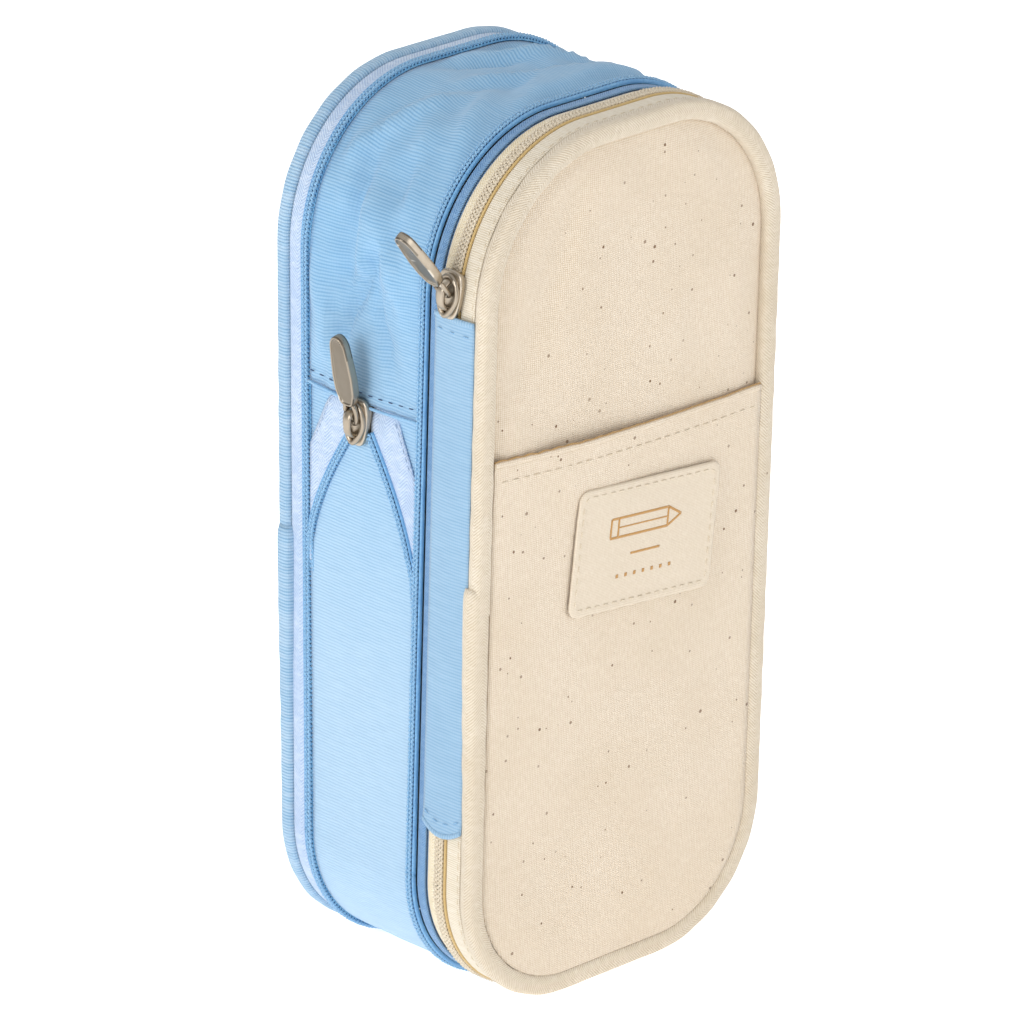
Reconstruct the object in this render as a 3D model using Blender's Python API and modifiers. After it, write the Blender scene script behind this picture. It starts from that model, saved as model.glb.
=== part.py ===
"""Upright zip-round pencil case: book-opening cover, expanding body, two zips.

Metres, +Z up. The case stands on its rounded-rectangle outline: X is its width, Y its depth
(front at -Y) and Z its height. The origin is at the middle of the base.
"""
import math

import bmesh
import bpy
from mathutils import Matrix, Vector

MM = 0.001

# Outline shared by every layer, as seen from the front
WIDTH = 100 * MM
HEIGHT = 220 * MM
TOP_RADIUS = 39 * MM
BASE_RADIUS = 34 * MM
ARC_STEPS = 9

# Layers through the depth, front to back: where each one starts and ends
FRONT = -35 * MM
BACK = 35 * MM
COVER_BINDING_Y = (FRONT, -31.0 * MM)
COVER_GUSSET_Y = (-30.7 * MM, -26.4 * MM)
COVER_TAPE_Y = (-30.4 * MM, -26.4 * MM)
COVER_TEETH_Y = (-26.1 * MM, -24.1 * MM)
BODY_TEETH_Y = (-23.8 * MM, -21.8 * MM)
BODY_TAPE_Y = (-21.5 * MM, -19.1 * MM)
FRONT_TAPE_Y = (-18.8 * MM, -16.2 * MM)
FRONT_TEETH_Y = (-15.9 * MM, -13.3 * MM)
GUSSET_Y = (-13.0 * MM, 23.4 * MM)
BACK_TEETH_Y = (23.7 * MM, 26.3 * MM)
BACK_TAPE_Y = (26.6 * MM, 30.7 * MM)
BACK_BINDING_Y = (31.0 * MM, BACK)

# The back slopes, so that the case is a little deeper at the top than at the base
SLOPE = 0.035
SLOPE_LEVEL = 163 * MM
SLOPED = ("back_binding", "back_panel", "back_foam", "back_lining", "back_zip_tape",
          "back_zip_teeth", "expansion_gusset", "v_tape_front", "v_tape_back", "v_teeth_front",
          "v_teeth_back")

GAP = 0.3 * MM
BINDING_WIDTH = 5.1 * MM
PANEL_INSET = BINDING_WIDTH + GAP
FABRIC = 0.8 * MM
TAPE = 0.6 * MM
TEETH = 1.6 * MM
FOAM = 2.0 * MM
LINING = 0.6 * MM

# Slip pocket on the cover, and its sewn label
POCKET_TOP = 143.5 * MM
POCKET_SAG = 1.5 * MM
POCKET_STEPS = 8
LABEL_SIZE = (48 * MM, 31.5 * MM)
LABEL_CENTRE = (5 * MM, 112 * MM)
LABEL_TILT = math.radians(-5)
LABEL_RADIUS = 3 * MM
MESH_POCKET_TOP = 120 * MM

# Spine panel that the cover opens on, like a book
SPINE_Y = (-30.6 * MM, -19.1 * MM)
SPINE_Z = (50 * MM, 179 * MM)
SPINE_SAG = 2.5 * MM
CHAIN_CLEARANCE = 0.4 * MM

# Inverted V on the left side, where the expansion zip starts
HEM_Z = 149 * MM
V_TOP_Z = 142 * MM
V_BASE_Z = 101 * MM
V_STEPS = 7
LEG_WIDTH = 2.4 * MM
LEG_TOP_OFFSET = 1.6 * MM
GUSSET_MIDDLE = (GUSSET_Y[0] + GUSSET_Y[1]) / 2
GUSSET_HALF = (GUSSET_Y[1] - GUSSET_Y[0]) / 2
LEG_BASE_OFFSET = GUSSET_HALF - LEG_WIDTH / 2
END_TAB_WIDTH = 10 * MM
END_TAB_Z = (141 * MM, 158 * MM)
END_TAB_INSET = 1.9 * MM

# Sliders and pull tabs
SLIDER_LENGTH = 12.0 * MM
SLIDER_NOSE = 8.6 * MM
SLIDER_TAIL = 6.0 * MM
SLIDER_PLATE = 1.4 * MM
CROWN_HEIGHT = 3.4 * MM
CROWN_LENGTH = 7.4 * MM
CROWN_WIRE = 0.8 * MM
PULL_LENGTH = 24.0 * MM
PULL_WIDTH = 6.6 * MM
PULL_NECK = 4.2 * MM
PULL_NECK_START = 5.0 * MM
PULL_THICK = 1.5 * MM
PULL_EYE_HALF = 1.75 * MM
PULL_EYE_WIRE = 0.6 * MM
COVER_SLIDER_Z = 184.5 * MM
COVER_SLIDER_Y = (COVER_TEETH_Y[1] + BODY_TEETH_Y[0]) / 2
COVER_PULL_ANGLE = math.radians(45)
SIDE_SLIDER_Z = 144.5 * MM
SIDE_PULL_ANGLE = math.radians(13)
LEFT = -WIDTH / 2

CREAM_CANVAS = (0.78, 0.68, 0.54)
CREAM_TWILL = (0.74, 0.64, 0.49)
CREAM_COIL = (0.76, 0.60, 0.33)
LABEL_COTTON = (0.74, 0.66, 0.58)
BLUE_CANVAS = (0.26, 0.51, 0.82)
BLUE_RIB = (0.24, 0.47, 0.76)
BLUE_COIL = (0.07, 0.27, 0.50)
BLUE_TAPE = (0.42, 0.56, 0.80)
LINING_BLUE = (0.30, 0.50, 0.74)
FOAM_WHITE = (0.75, 0.75, 0.73)
MESH_GREY = (0.50, 0.55, 0.60)
NICKEL = (0.42, 0.36, 0.29)


def clear_scene():
    for thing in list(bpy.data.objects):
        bpy.data.objects.remove(thing)


def new_collection(name):
    group = bpy.data.collections.new(name)
    bpy.context.scene.collection.children.link(group)
    return group


def material(name, colour, roughness, metallic=0.0):
    mat = bpy.data.materials.new(name)
    mat.use_nodes = True
    shader = mat.node_tree.nodes["Principled BSDF"]
    shader.inputs["Base Color"].default_value = (*colour, 1.0)
    shader.inputs["Roughness"].default_value = roughness
    shader.inputs["Metallic"].default_value = metallic
    mat.diffuse_color = (*colour, 1.0)
    return mat


def arc(cx, cz, radius, start, end):
    """Points of a circular arc, angles in degrees from +X."""
    points = []
    for step in range(ARC_STEPS + 1):
        angle = math.radians(start + (end - start) * step / ARC_STEPS)
        points.append((cx + radius * math.cos(angle), cz + radius * math.sin(angle)))
    return points


def outline(inset, start_z=None, end_z=None):
    """The case's outline moved inwards by inset, clockwise from its left side.

    With start_z and end_z it is open: it starts on the left side at start_z, runs over the
    top and round the base, and ends on the left side at end_z.
    """
    half = WIDTH / 2 - inset
    top, low = HEIGHT - inset, inset
    r_top, r_base = TOP_RADIUS - inset, BASE_RADIUS - inset
    points = []
    if start_z is not None:
        points.append((-half, start_z))
    points += arc(-half + r_top, top - r_top, r_top, 180, 90)
    points += arc(half - r_top, top - r_top, r_top, 90, 0)
    points += arc(half - r_base, low + r_base, r_base, 0, -90)
    points += arc(-half + r_base, low + r_base, r_base, -90, -180)
    if end_z is not None:
        points.append((-half, end_z))
    return points


def flat_curve(name, points, thickness, closed, filled):
    """A 2D curve object in its own XY plane, thickened along its own Z."""
    data = bpy.data.curves.new(name, "CURVE")
    data.dimensions = "2D"
    data.fill_mode = "BOTH" if filled else "NONE"
    data.extrude = thickness / 2
    spline = data.splines.new("POLY")
    spline.points.add(len(points) - 1)
    for spot, (x, y) in zip(spline.points, points):
        spot.co = (x, y, 0, 1)
    spline.use_cyclic_u = closed
    return bpy.data.objects.new(name, data)


def to_mesh(curve, group, mat):
    """Swap a curve object for a welded mesh object in its place."""
    group.objects.link(curve)
    bpy.context.view_layer.update()
    seen = curve.evaluated_get(bpy.context.evaluated_depsgraph_get())
    mesh = bpy.data.meshes.new_from_object(seen)
    name = curve.name
    place = curve.matrix_world.copy()
    bpy.data.objects.remove(curve)
    work = bmesh.new()
    work.from_mesh(mesh)
    bmesh.ops.remove_doubles(work, verts=work.verts, dist=1e-6)
    bmesh.ops.recalc_face_normals(work, faces=work.faces)
    work.to_mesh(mesh)
    work.free()
    piece = bpy.data.objects.new(name, mesh)
    group.objects.link(piece)
    piece.matrix_world = place
    mesh.materials.clear()
    mesh.materials.append(mat)
    return piece


def ring(name, layer, inset, thickness, mat, start_z=None, end_z=None, rounding=0.0):
    """A strip that runs round the case: a ribbon as wide as its layer, made solid."""
    middle = inset + thickness / 2
    closed = start_z is None
    strip = flat_curve(name, outline(middle, start_z, end_z), layer[1] - layer[0], closed, False)
    strip.rotation_euler = (math.radians(90), 0, 0)
    strip.location = (0, (layer[0] + layer[1]) / 2, 0)
    piece = to_mesh(strip, parts, mat)
    solid = piece.modifiers.new("thickness", "SOLIDIFY")
    solid.thickness = thickness
    solid.offset = 0
    solid.use_even_offset = True
    if rounding:
        soften(piece, rounding, 2)
    smooth(piece)
    return piece


def front_plate(name, points, front_y, thickness, mat):
    """A flat piece facing the front, its outline given as (x, z)."""
    plate = flat_curve(name, points, thickness, True, True)
    plate.rotation_euler = (math.radians(90), 0, 0)
    plate.location = (0, front_y + thickness / 2, 0)
    return to_mesh(plate, parts, mat)


def side_plate(name, points, inset, thickness, mat):
    """A flat piece on the left side, its outline given as (y, z)."""
    plate = flat_curve(name, points, thickness, True, True)
    plate.rotation_euler = (math.radians(90), 0, math.radians(90))
    plate.location = (LEFT + inset + thickness / 2, 0, 0)
    return to_mesh(plate, parts, mat)


def soften(piece, width, segments):
    edge = piece.modifiers.new("rounding", "BEVEL")
    edge.width = width
    edge.segments = segments
    edge.limit_method = "ANGLE"
    edge.angle_limit = math.radians(50)


def smooth(piece):
    piece.data.shade_smooth()
    piece.data.set_sharp_from_angle(angle=math.radians(40))


def union(piece, other):
    """Join other into piece, so that they are one body."""
    parts.objects.unlink(other)
    cutters.objects.link(other)
    other.hide_render = True
    other.display_type = "WIRE"
    join = piece.modifiers.new("join_" + other.name, "BOOLEAN")
    join.operation = "UNION"
    join.object = other


def panel_outline(inset, top=None, sag=0.0):
    """The panel's outline, or its part below a level top edge that sags in the middle."""
    if top is None:
        return outline(inset)
    half = WIDTH / 2 - inset
    r_base = BASE_RADIUS - inset
    points = []
    for step in range(POCKET_STEPS + 1):
        across = -1 + 2 * step / POCKET_STEPS
        points.append((half * across, top - sag * (1 - across * across)))
    points += arc(half - r_base, inset + r_base, r_base, 0, -90)
    points += arc(-half + r_base, inset + r_base, r_base, -90, -180)
    return points


def rounded_label():
    """The label's outline, tilted about its centre."""
    half_x, half_z = LABEL_SIZE[0] / 2, LABEL_SIZE[1] / 2
    turn = Matrix.Rotation(LABEL_TILT, 2)
    points = []
    for sx, sz, start in ((1, 1, 90), (1, -1, 0), (-1, -1, -90), (-1, 1, -180)):
        for step in range(4):
            angle = math.radians(start - 30 * step)
            corner = Vector((sx * (half_x - LABEL_RADIUS), sz * (half_z - LABEL_RADIUS)))
            corner += LABEL_RADIUS * Vector((math.cos(angle), math.sin(angle)))
            points.append(tuple(turn @ corner + Vector(LABEL_CENTRE)))
    return points


def leg_point(step, shift):
    """A point of the V's leg, shift outwards of its middle line: (distance from the V's
    middle, height). The leg curves until it runs along the edge row."""
    part = step / V_STEPS
    offset = LEG_TOP_OFFSET + (LEG_BASE_OFFSET - LEG_TOP_OFFSET) * math.sin(part * math.pi / 2)
    return offset + shift, V_TOP_Z + (V_BASE_Z - V_TOP_Z) * part


def leg_line(shift):
    return [leg_point(step, shift) for step in range(V_STEPS + 1)]


def mirrored_side(points, side):
    """Points given from the V's middle, put on the front (-1) or the back (+1) half."""
    return [(GUSSET_MIDDLE + side * offset, z) for offset, z in points]


def make_cover():
    cream = material("cream_canvas", CREAM_CANVAS, 0.9)
    twill = material("cream_twill", CREAM_TWILL, 0.9)
    coil = material("cream_coil", CREAM_COIL, 0.45)
    ring("cover_binding", COVER_BINDING_Y, 0, BINDING_WIDTH, twill, rounding=1.1 * MM)
    front_plate("front_panel", panel_outline(PANEL_INSET), -33.6 * MM, FABRIC, cream)
    front_plate("front_foam", panel_outline(PANEL_INSET), -32.5 * MM, FOAM,
                material("cover_foam", FOAM_WHITE, 0.95))
    front_plate("cover_lining", panel_outline(PANEL_INSET), -30.2 * MM, LINING,
                material("cover_lining", LINING_BLUE, 0.8))
    front_plate("front_pocket", panel_outline(PANEL_INSET, POCKET_TOP, POCKET_SAG), -34.7 * MM,
                FABRIC, material("pocket_canvas", CREAM_CANVAS, 0.9))
    front_plate("pocket_label", rounded_label(), -35.4 * MM, 0.4 * MM,
                material("label_cotton", LABEL_COTTON, 0.85))
    front_plate("mesh_pocket", panel_outline(PANEL_INSET + GAP, MESH_POCKET_TOP), -29.3 * MM,
                0.4 * MM, material("mesh", MESH_GREY, 0.8))
    ends = (SPINE_Z[1] + GAP, SPINE_Z[0] - SPINE_SAG - GAP)
    ring("cover_gusset", COVER_GUSSET_Y, 0.7 * MM, FABRIC, cream, *ends)
    ring("cover_zip_tape", COVER_TAPE_Y, 1.8 * MM, TAPE, material("cream_tape", CREAM_TWILL, 0.8),
         *ends)
    ring("cover_zip_teeth", COVER_TEETH_Y, 0.5 * MM, TEETH, coil, *ends)


def make_front_frame():
    """The strips that the cover closes onto, and the spine panel between them and the cover."""
    ends = (SPINE_Z[1] + GAP, SPINE_Z[0] - SPINE_SAG - GAP)
    ring("body_zip_teeth", BODY_TEETH_Y, 0.5 * MM, TEETH,
         material("body_coil", CREAM_COIL, 0.45), *ends)
    ring("body_zip_tape", BODY_TAPE_Y, 1.2 * MM, TAPE, material("body_tape", CREAM_TWILL, 0.8))
    ring("front_zip_tape", FRONT_TAPE_Y, 0.6 * MM, TAPE, material("front_tape", BLUE_TAPE, 0.75))
    ring("front_zip_teeth", FRONT_TEETH_Y, 0.0, TEETH, material("front_coil", BLUE_COIL, 0.4))
    front, back = SPINE_Y
    points = [(front, SPINE_Z[1]), (back, SPINE_Z[1])]
    for step in range(POCKET_STEPS + 1):
        across = 1 - 2 * step / POCKET_STEPS
        y = (front + back) / 2 + across * (back - front) / 2
        points.append((y, SPINE_Z[0] - SPINE_SAG * (1 - across * across)))
    side_plate("hinge_panel", points, 0.05 * MM, FABRIC, material("spine_canvas", BLUE_CANVAS, 0.9))


def make_back():
    blue = material("back_canvas", BLUE_CANVAS, 0.9)
    ring("back_binding", BACK_BINDING_Y, 0, BINDING_WIDTH, material("rib", BLUE_RIB, 0.85),
         rounding=1.1 * MM)
    front_plate("back_panel", panel_outline(PANEL_INSET), 32.8 * MM, FABRIC, blue)
    front_plate("back_foam", panel_outline(PANEL_INSET), 30.5 * MM, FOAM,
                material("back_foam", FOAM_WHITE, 0.95))
    front_plate("back_lining", panel_outline(PANEL_INSET), 29.6 * MM, LINING,
                material("back_lining", LINING_BLUE, 0.8))
    ring("back_zip_tape", BACK_TAPE_Y, 0.6 * MM, TAPE, material("back_tape", BLUE_TAPE, 0.75))
    ring("back_zip_teeth", BACK_TEETH_Y, 0.0, TEETH, material("back_coil", BLUE_COIL, 0.4))


def make_expansion():
    """The gusset that the expansion zip closes over, and the V where that zip starts."""
    blue = material("gusset_canvas", BLUE_CANVAS, 0.9)
    gusset = ring("expansion_gusset", GUSSET_Y, 0.0, FABRIC, blue, HEM_Z, V_BASE_Z - GAP)
    inner = leg_line(-LEG_WIDTH / 2 - GAP)
    inner = [spot for spot in inner if spot[0] > GAP]
    foot = (inner[-1][0], V_BASE_Z - 3 * MM)
    tongue_edge = mirrored_side(inner + [foot], -1)
    tongue_edge += reversed(mirrored_side(inner + [foot], 1))
    union(gusset, side_plate("gusset_tongue", tongue_edge, 0.0, FABRIC, blue))
    for side, word in ((-1, "front"), (1, "back")):
        shade = material("v_tape_" + word, BLUE_TAPE, 0.75)
        edge = leg_line(LEG_WIDTH / 2 + GAP)
        edge = [spot for spot in edge if spot[0] < GUSSET_HALF - GAP]
        edge = [(edge[0][0], HEM_Z - GAP)] + edge
        border = [(GUSSET_HALF, edge[-1][1] - 1.0 * MM), (GUSSET_HALF, HEM_Z - GAP)]
        side_plate("v_tape_" + word, mirrored_side(edge + border, side), 0.1 * MM, TAPE, shade)
        bar = leg_line(-LEG_WIDTH / 2) + leg_line(LEG_WIDTH / 2)[::-1]
        side_plate("v_teeth_" + word, mirrored_side(bar, side), -0.2 * MM, TEETH * 0.75,
                   material("v_coil_" + word, BLUE_COIL, 0.4))
    half = END_TAB_WIDTH / 2
    low, high = END_TAB_Z
    corners = [(half, low), (half, high), (-half, high), (-half, low)]
    side_plate("zip_end_tab", mirrored_side(corners, 1), END_TAB_INSET, TAPE,
               material("end_tab", BLUE_TAPE, 0.75))


def slider_frame(position, travel_angle):
    """Axes of a slider on the left side: its own +Z is its way of travel, +Y out of the
    fabric, and X across the chain. travel_angle tips it over the top arc."""
    out = Vector((-math.cos(travel_angle), 0, math.sin(travel_angle)))
    along = Vector((math.sin(travel_angle), 0, math.cos(travel_angle)))
    across = out.cross(along)
    turn = Matrix((across, out, along)).transposed().to_4x4()
    return Matrix.Translation(position) @ turn


def bent_wire(name, points, radius, mat):
    data = bpy.data.curves.new(name, "CURVE")
    data.dimensions = "3D"
    data.bevel_depth = radius
    data.bevel_resolution = 2
    data.use_fill_caps = True
    spline = data.splines.new("POLY")
    spline.points.add(len(points) - 1)
    for spot, point in zip(spline.points, points):
        spot.co = (*point, 1)
    return to_mesh(bpy.data.objects.new(name, data), parts, mat)


def bake(piece, frame):
    """Turn and move the piece's own points, and leave its object at the origin."""
    piece.data.transform(frame @ piece.matrix_world)
    piece.matrix_world = Matrix.Identity(4)


def make_slider(name, frame, mat):
    """A heart-shaped plate with an arched crown on it."""
    half = SLIDER_LENGTH / 2
    nose, tail = SLIDER_NOSE / 2, SLIDER_TAIL / 2
    edge = [(-tail, -half), (tail, -half), (nose, -0.1 * half), (nose, 0.7 * half),
            (0.7 * nose, half), (-0.7 * nose, half), (-nose, 0.7 * half), (-nose, -0.1 * half)]
    plate = flat_curve(name, edge, SLIDER_PLATE, True, True)
    plate.rotation_euler = (math.radians(90), 0, 0)
    plate.location = (0, SLIDER_PLATE / 2, 0)
    plate = to_mesh(plate, parts, mat)
    bake(plate, frame)
    soften(plate, 0.3 * MM, 1)
    reach = CROWN_LENGTH / 2
    top = SLIDER_PLATE + CROWN_HEIGHT - CROWN_WIRE
    arch = [(0, SLIDER_PLATE / 2, -reach), (0, 0.8 * top, -0.93 * reach), (0, top, -0.6 * reach),
            (0, top, 0.6 * reach), (0, 0.8 * top, 0.93 * reach), (0, SLIDER_PLATE / 2, reach)]
    crown = bent_wire(name + "_crown", arch, CROWN_WIRE, mat)
    bake(crown, frame)
    union(plate, crown)
    return plate


def make_pull(name, pivot, lean, frame, mat):
    """A tapered tab hung on a square eye. Its object's origin is on the pivot."""
    half, neck = PULL_WIDTH / 2, PULL_NECK / 2
    start = PULL_NECK_START
    edge = [(-neck, start), (neck, start), (half, 0.55 * PULL_LENGTH)]
    for step in range(1, 6):
        angle = math.radians(30 * step)
        edge.append((half * math.cos(angle), PULL_LENGTH - half + half * math.sin(angle)))
    edge += [(-half, 0.55 * PULL_LENGTH)]
    tab = flat_curve(name, edge, PULL_THICK, True, True)
    tab.rotation_euler = (math.radians(90), 0, 0)
    tab = to_mesh(tab, parts, mat)
    eye = PULL_EYE_HALF
    foot, top = 0.3 * eye, start + PULL_EYE_WIRE
    loop = [(-eye, 0, top), (-eye, 0, foot), (-0.75 * eye, 0, 0),
            (0.75 * eye, 0, 0), (eye, 0, foot), (eye, 0, top)]
    ring_wire = bent_wire(name + "_eye", loop, PULL_EYE_WIRE, mat)
    tip = frame.to_3x3().to_4x4() @ Matrix.Rotation(-lean, 4, "X")
    for piece in (tab, ring_wire):
        bake(piece, tip)
        piece.location = pivot
    soften(tab, 0.3 * MM, 1)
    union(tab, ring_wire)
    return tab


def make_zip_pull_pair(prefix, position, travel_angle, lean):
    mat = material(prefix + "_metal", NICKEL, 0.35, 1.0)
    frame = slider_frame(position, travel_angle)
    make_slider(prefix + "_slider", frame, mat)
    eye_height = SLIDER_PLATE + CROWN_HEIGHT - 2 * CROWN_WIRE - PULL_EYE_WIRE - GAP
    pivot = frame @ Vector((0, eye_height, 0))
    make_pull(prefix + "_pull", pivot, lean, frame, mat)


def make_sliders():
    angle = math.asin((COVER_SLIDER_Z - (HEIGHT - TOP_RADIUS)) / TOP_RADIUS)
    reach = TOP_RADIUS + CHAIN_CLEARANCE
    middle = (LEFT + TOP_RADIUS, HEIGHT - TOP_RADIUS)
    spot = Vector((middle[0] - reach * math.cos(angle), COVER_SLIDER_Y,
                   middle[1] + reach * math.sin(angle)))
    make_zip_pull_pair("cover", spot, angle, COVER_PULL_ANGLE)
    spot = Vector((LEFT - CHAIN_CLEARANCE - 0.1 * MM, GUSSET_MIDDLE, SIDE_SLIDER_Z))
    make_zip_pull_pair("expansion", spot, 0.0, SIDE_PULL_ANGLE)


def slope_back(piece):
    """Shift a finished piece to the back or the front by its height, in proportion to how far
    behind the front edge of the gusset it lies."""
    bpy.context.view_layer.update()
    shown = piece.evaluated_get(bpy.context.evaluated_depsgraph_get())
    mesh = bpy.data.meshes.new_from_object(shown)
    mesh.transform(piece.matrix_world)
    piece.modifiers.clear()
    piece.data = mesh
    piece.matrix_world = Matrix.Identity(4)
    for vertex in mesh.vertices:
        share = (vertex.co.y - GUSSET_Y[0]) / (GUSSET_Y[1] - GUSSET_Y[0])
        vertex.co.y += min(max(share, 0.0), 1.0) * SLOPE * (vertex.co.z - SLOPE_LEVEL)


clear_scene()
parts = new_collection("pencil_case")
cutters = new_collection("cutters")
make_back()
make_expansion()
make_front_frame()
make_cover()
make_sliders()
for sloped_name in SLOPED:
    slope_back(bpy.data.objects[sloped_name])
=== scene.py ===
import math

import bpy
import numpy as np
from mathutils import Matrix, Vector, noise


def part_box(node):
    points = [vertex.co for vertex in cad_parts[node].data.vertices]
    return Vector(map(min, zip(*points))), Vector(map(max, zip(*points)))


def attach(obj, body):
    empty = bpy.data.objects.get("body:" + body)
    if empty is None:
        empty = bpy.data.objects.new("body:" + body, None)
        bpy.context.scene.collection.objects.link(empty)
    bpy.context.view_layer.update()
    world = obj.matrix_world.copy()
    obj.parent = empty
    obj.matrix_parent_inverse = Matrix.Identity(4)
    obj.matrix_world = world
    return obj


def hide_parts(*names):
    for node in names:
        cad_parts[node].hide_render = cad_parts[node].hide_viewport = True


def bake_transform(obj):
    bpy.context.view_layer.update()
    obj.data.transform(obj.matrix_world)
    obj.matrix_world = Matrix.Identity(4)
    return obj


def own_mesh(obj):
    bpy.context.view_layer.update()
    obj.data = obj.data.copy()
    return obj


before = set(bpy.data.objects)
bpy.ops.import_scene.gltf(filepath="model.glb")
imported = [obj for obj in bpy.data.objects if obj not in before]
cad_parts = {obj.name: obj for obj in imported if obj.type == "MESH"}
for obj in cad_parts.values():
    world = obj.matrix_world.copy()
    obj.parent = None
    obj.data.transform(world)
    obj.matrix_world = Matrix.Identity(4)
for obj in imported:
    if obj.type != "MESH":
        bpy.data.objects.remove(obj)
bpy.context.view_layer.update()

MM = 0.001
RIGHT_ANGLE = math.pi / 2


# The CAD's back slopes: behind the gusset's front edge it lies further forward towards the base.
SLOPE = 0.035
SLOPE_LEVEL = 163 * MM


def edges(node, axis):
    """Lowest and highest value of a CAD node along an axis, 0 to 2, with the back's slope undone."""
    lo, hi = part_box(node)
    if axis == 1 and hi.y > 0:
        return (lo.y - SLOPE * (lo.z - SLOPE_LEVEL) * (lo.y > 0), hi.y - SLOPE * (hi.z - SLOPE_LEVEL))
    return lo[axis], hi[axis]


# ---------------------------------------------------------------- the case's outline
GUSSET_FRONT, GUSSET_BACK = edges("expansion_gusset", 1)
LEFT, RIGHT = edges("back_binding", 0)
BASE, TOP = edges("back_binding", 2)
TOP_RADIUS = 39 * MM
BASE_RADIUS = 34 * MM
SIDE = TOP - TOP_RADIUS - BASE_RADIUS
LEGS = np.array([
    SIDE, TOP_RADIUS * RIGHT_ANGLE, RIGHT - LEFT - 2 * TOP_RADIUS, TOP_RADIUS * RIGHT_ANGLE,
    SIDE, BASE_RADIUS * RIGHT_ANGLE, RIGHT - LEFT - 2 * BASE_RADIUS, BASE_RADIUS * RIGHT_ANGLE])
LEG_ENDS = np.cumsum(LEGS)
LOOP = float(LEG_ENDS[-1])
LEG_START = np.array([
    (LEFT, BASE_RADIUS), (LEFT + TOP_RADIUS, TOP - TOP_RADIUS), (LEFT + TOP_RADIUS, TOP),
    (RIGHT - TOP_RADIUS, TOP - TOP_RADIUS), (RIGHT, TOP - TOP_RADIUS),
    (RIGHT - BASE_RADIUS, BASE_RADIUS), (RIGHT - BASE_RADIUS, BASE),
    (LEFT + BASE_RADIUS, BASE_RADIUS)])
LEG_RADIUS = np.array([0, TOP_RADIUS, 0, TOP_RADIUS, 0, BASE_RADIUS, 0, BASE_RADIUS])
LEG_ANGLE = math.pi - RIGHT_ANGLE * np.array([0, 0, 1, 1, 2, 2, 3, 3])


def running(points, closed=False):
    """Distance along a row of points, with the closing step if closed."""
    points = np.asarray(points)
    if closed:
        points = np.concatenate([points, points[:1]])
    return np.concatenate([[0], np.cumsum(np.linalg.norm(np.diff(points, axis=0), axis=1))])


def directions(points):
    """The unit direction along a row of points, at each of them."""
    along = np.gradient(points, axis=0)
    return along / np.maximum(np.linalg.norm(along, axis=1, keepdims=True), 1e-12)


class Rail:
    """A line that strips and coils follow: centres, and unit directions across, outward and along.
    across and outward are one direction each, or one per centre."""

    def __init__(self, centre, across, outward, distance=None):
        self.centre, self.along = centre, directions(centre)
        self.across, self.outward = (np.broadcast_to(np.asarray(d, float), centre.shape)
                                     for d in (across, outward))
        self.distance = running(centre) if distance is None else distance

    def at(self, distance):
        """The same rail at other distances along it."""
        def pick(values):
            return np.stack([np.interp(distance, self.distance, values[:, k]) for k in range(3)], 1)
        across, outward = pick(self.across), pick(self.outward)
        across /= np.linalg.norm(across, axis=1, keepdims=True)
        outward /= np.linalg.norm(outward, axis=1, keepdims=True)
        return Rail(pick(self.centre), across, outward, np.asarray(distance))


def outline(s, inset=0.0):
    """Points (x, z) and outward directions at distances s round the outline, clockwise from the
    foot of the left side's straight part, moved inward by inset."""
    s = np.mod(np.asarray(s, float), LOOP)
    leg = np.minimum(np.searchsorted(LEG_ENDS, s, side="right"), 7)
    run = s - (LEG_ENDS[leg] - LEGS[leg])
    radius = LEG_RADIUS[leg]
    curved = radius > 0
    angle = LEG_ANGLE[leg] - np.where(curved, run / np.where(curved, radius, 1), 0)
    normal = np.stack([np.cos(angle), np.sin(angle)], 1)
    tangent = np.stack([np.sin(angle), -np.cos(angle)], 1)
    reach = np.where(curved, radius, 0)[:, None] * normal + np.where(curved, 0, run)[:, None] * tangent
    return LEG_START[leg] + reach - inset * normal, normal


def round_rail(s, y, inset=0.0):
    """Rail round the outline at depth y, from front to back across it."""
    point, normal = outline(s, inset)
    y = np.broadcast_to(y, len(point))
    centre = np.stack([point[:, 0], y, point[:, 1]], 1)
    outward = np.stack([normal[:, 0], np.zeros(len(point)), normal[:, 1]], 1)
    return Rail(centre, (0, 1, 0), outward, np.asarray(s, float))


def rail_on(centre, outward):
    """A rail over a surface that faces outward."""
    return Rail(centre, np.cross(outward, directions(centre)), outward)


def left_s(z):
    """Distance round the outline of height z on the left side's straight part."""
    return z - BASE_RADIUS


def steps(start, end, pitch):
    """Even steps of about pitch from start to end."""
    return np.linspace(start, end, max(2, int(round((end - start) / pitch)) + 1))


# ---------------------------------------------------------------- meshes
def new_mesh(name, points, faces, uv, material):
    """A smooth piece with corner UVs and one material."""
    mesh = bpy.data.meshes.new(name)
    mesh.from_pydata(np.asarray(points).reshape(-1, 3).tolist(), [], faces)
    layer = mesh.uv_layers.new(name="UVMap")
    layer.data.foreach_set("uv", np.asarray(uv, np.float32).ravel())
    mesh.polygons.foreach_set("use_smooth", [True] * len(mesh.polygons))
    obj = bpy.data.objects.new(name, mesh)
    bpy.context.scene.collection.objects.link(obj)
    mesh.materials.append(material)
    mesh.update()
    return obj


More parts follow.
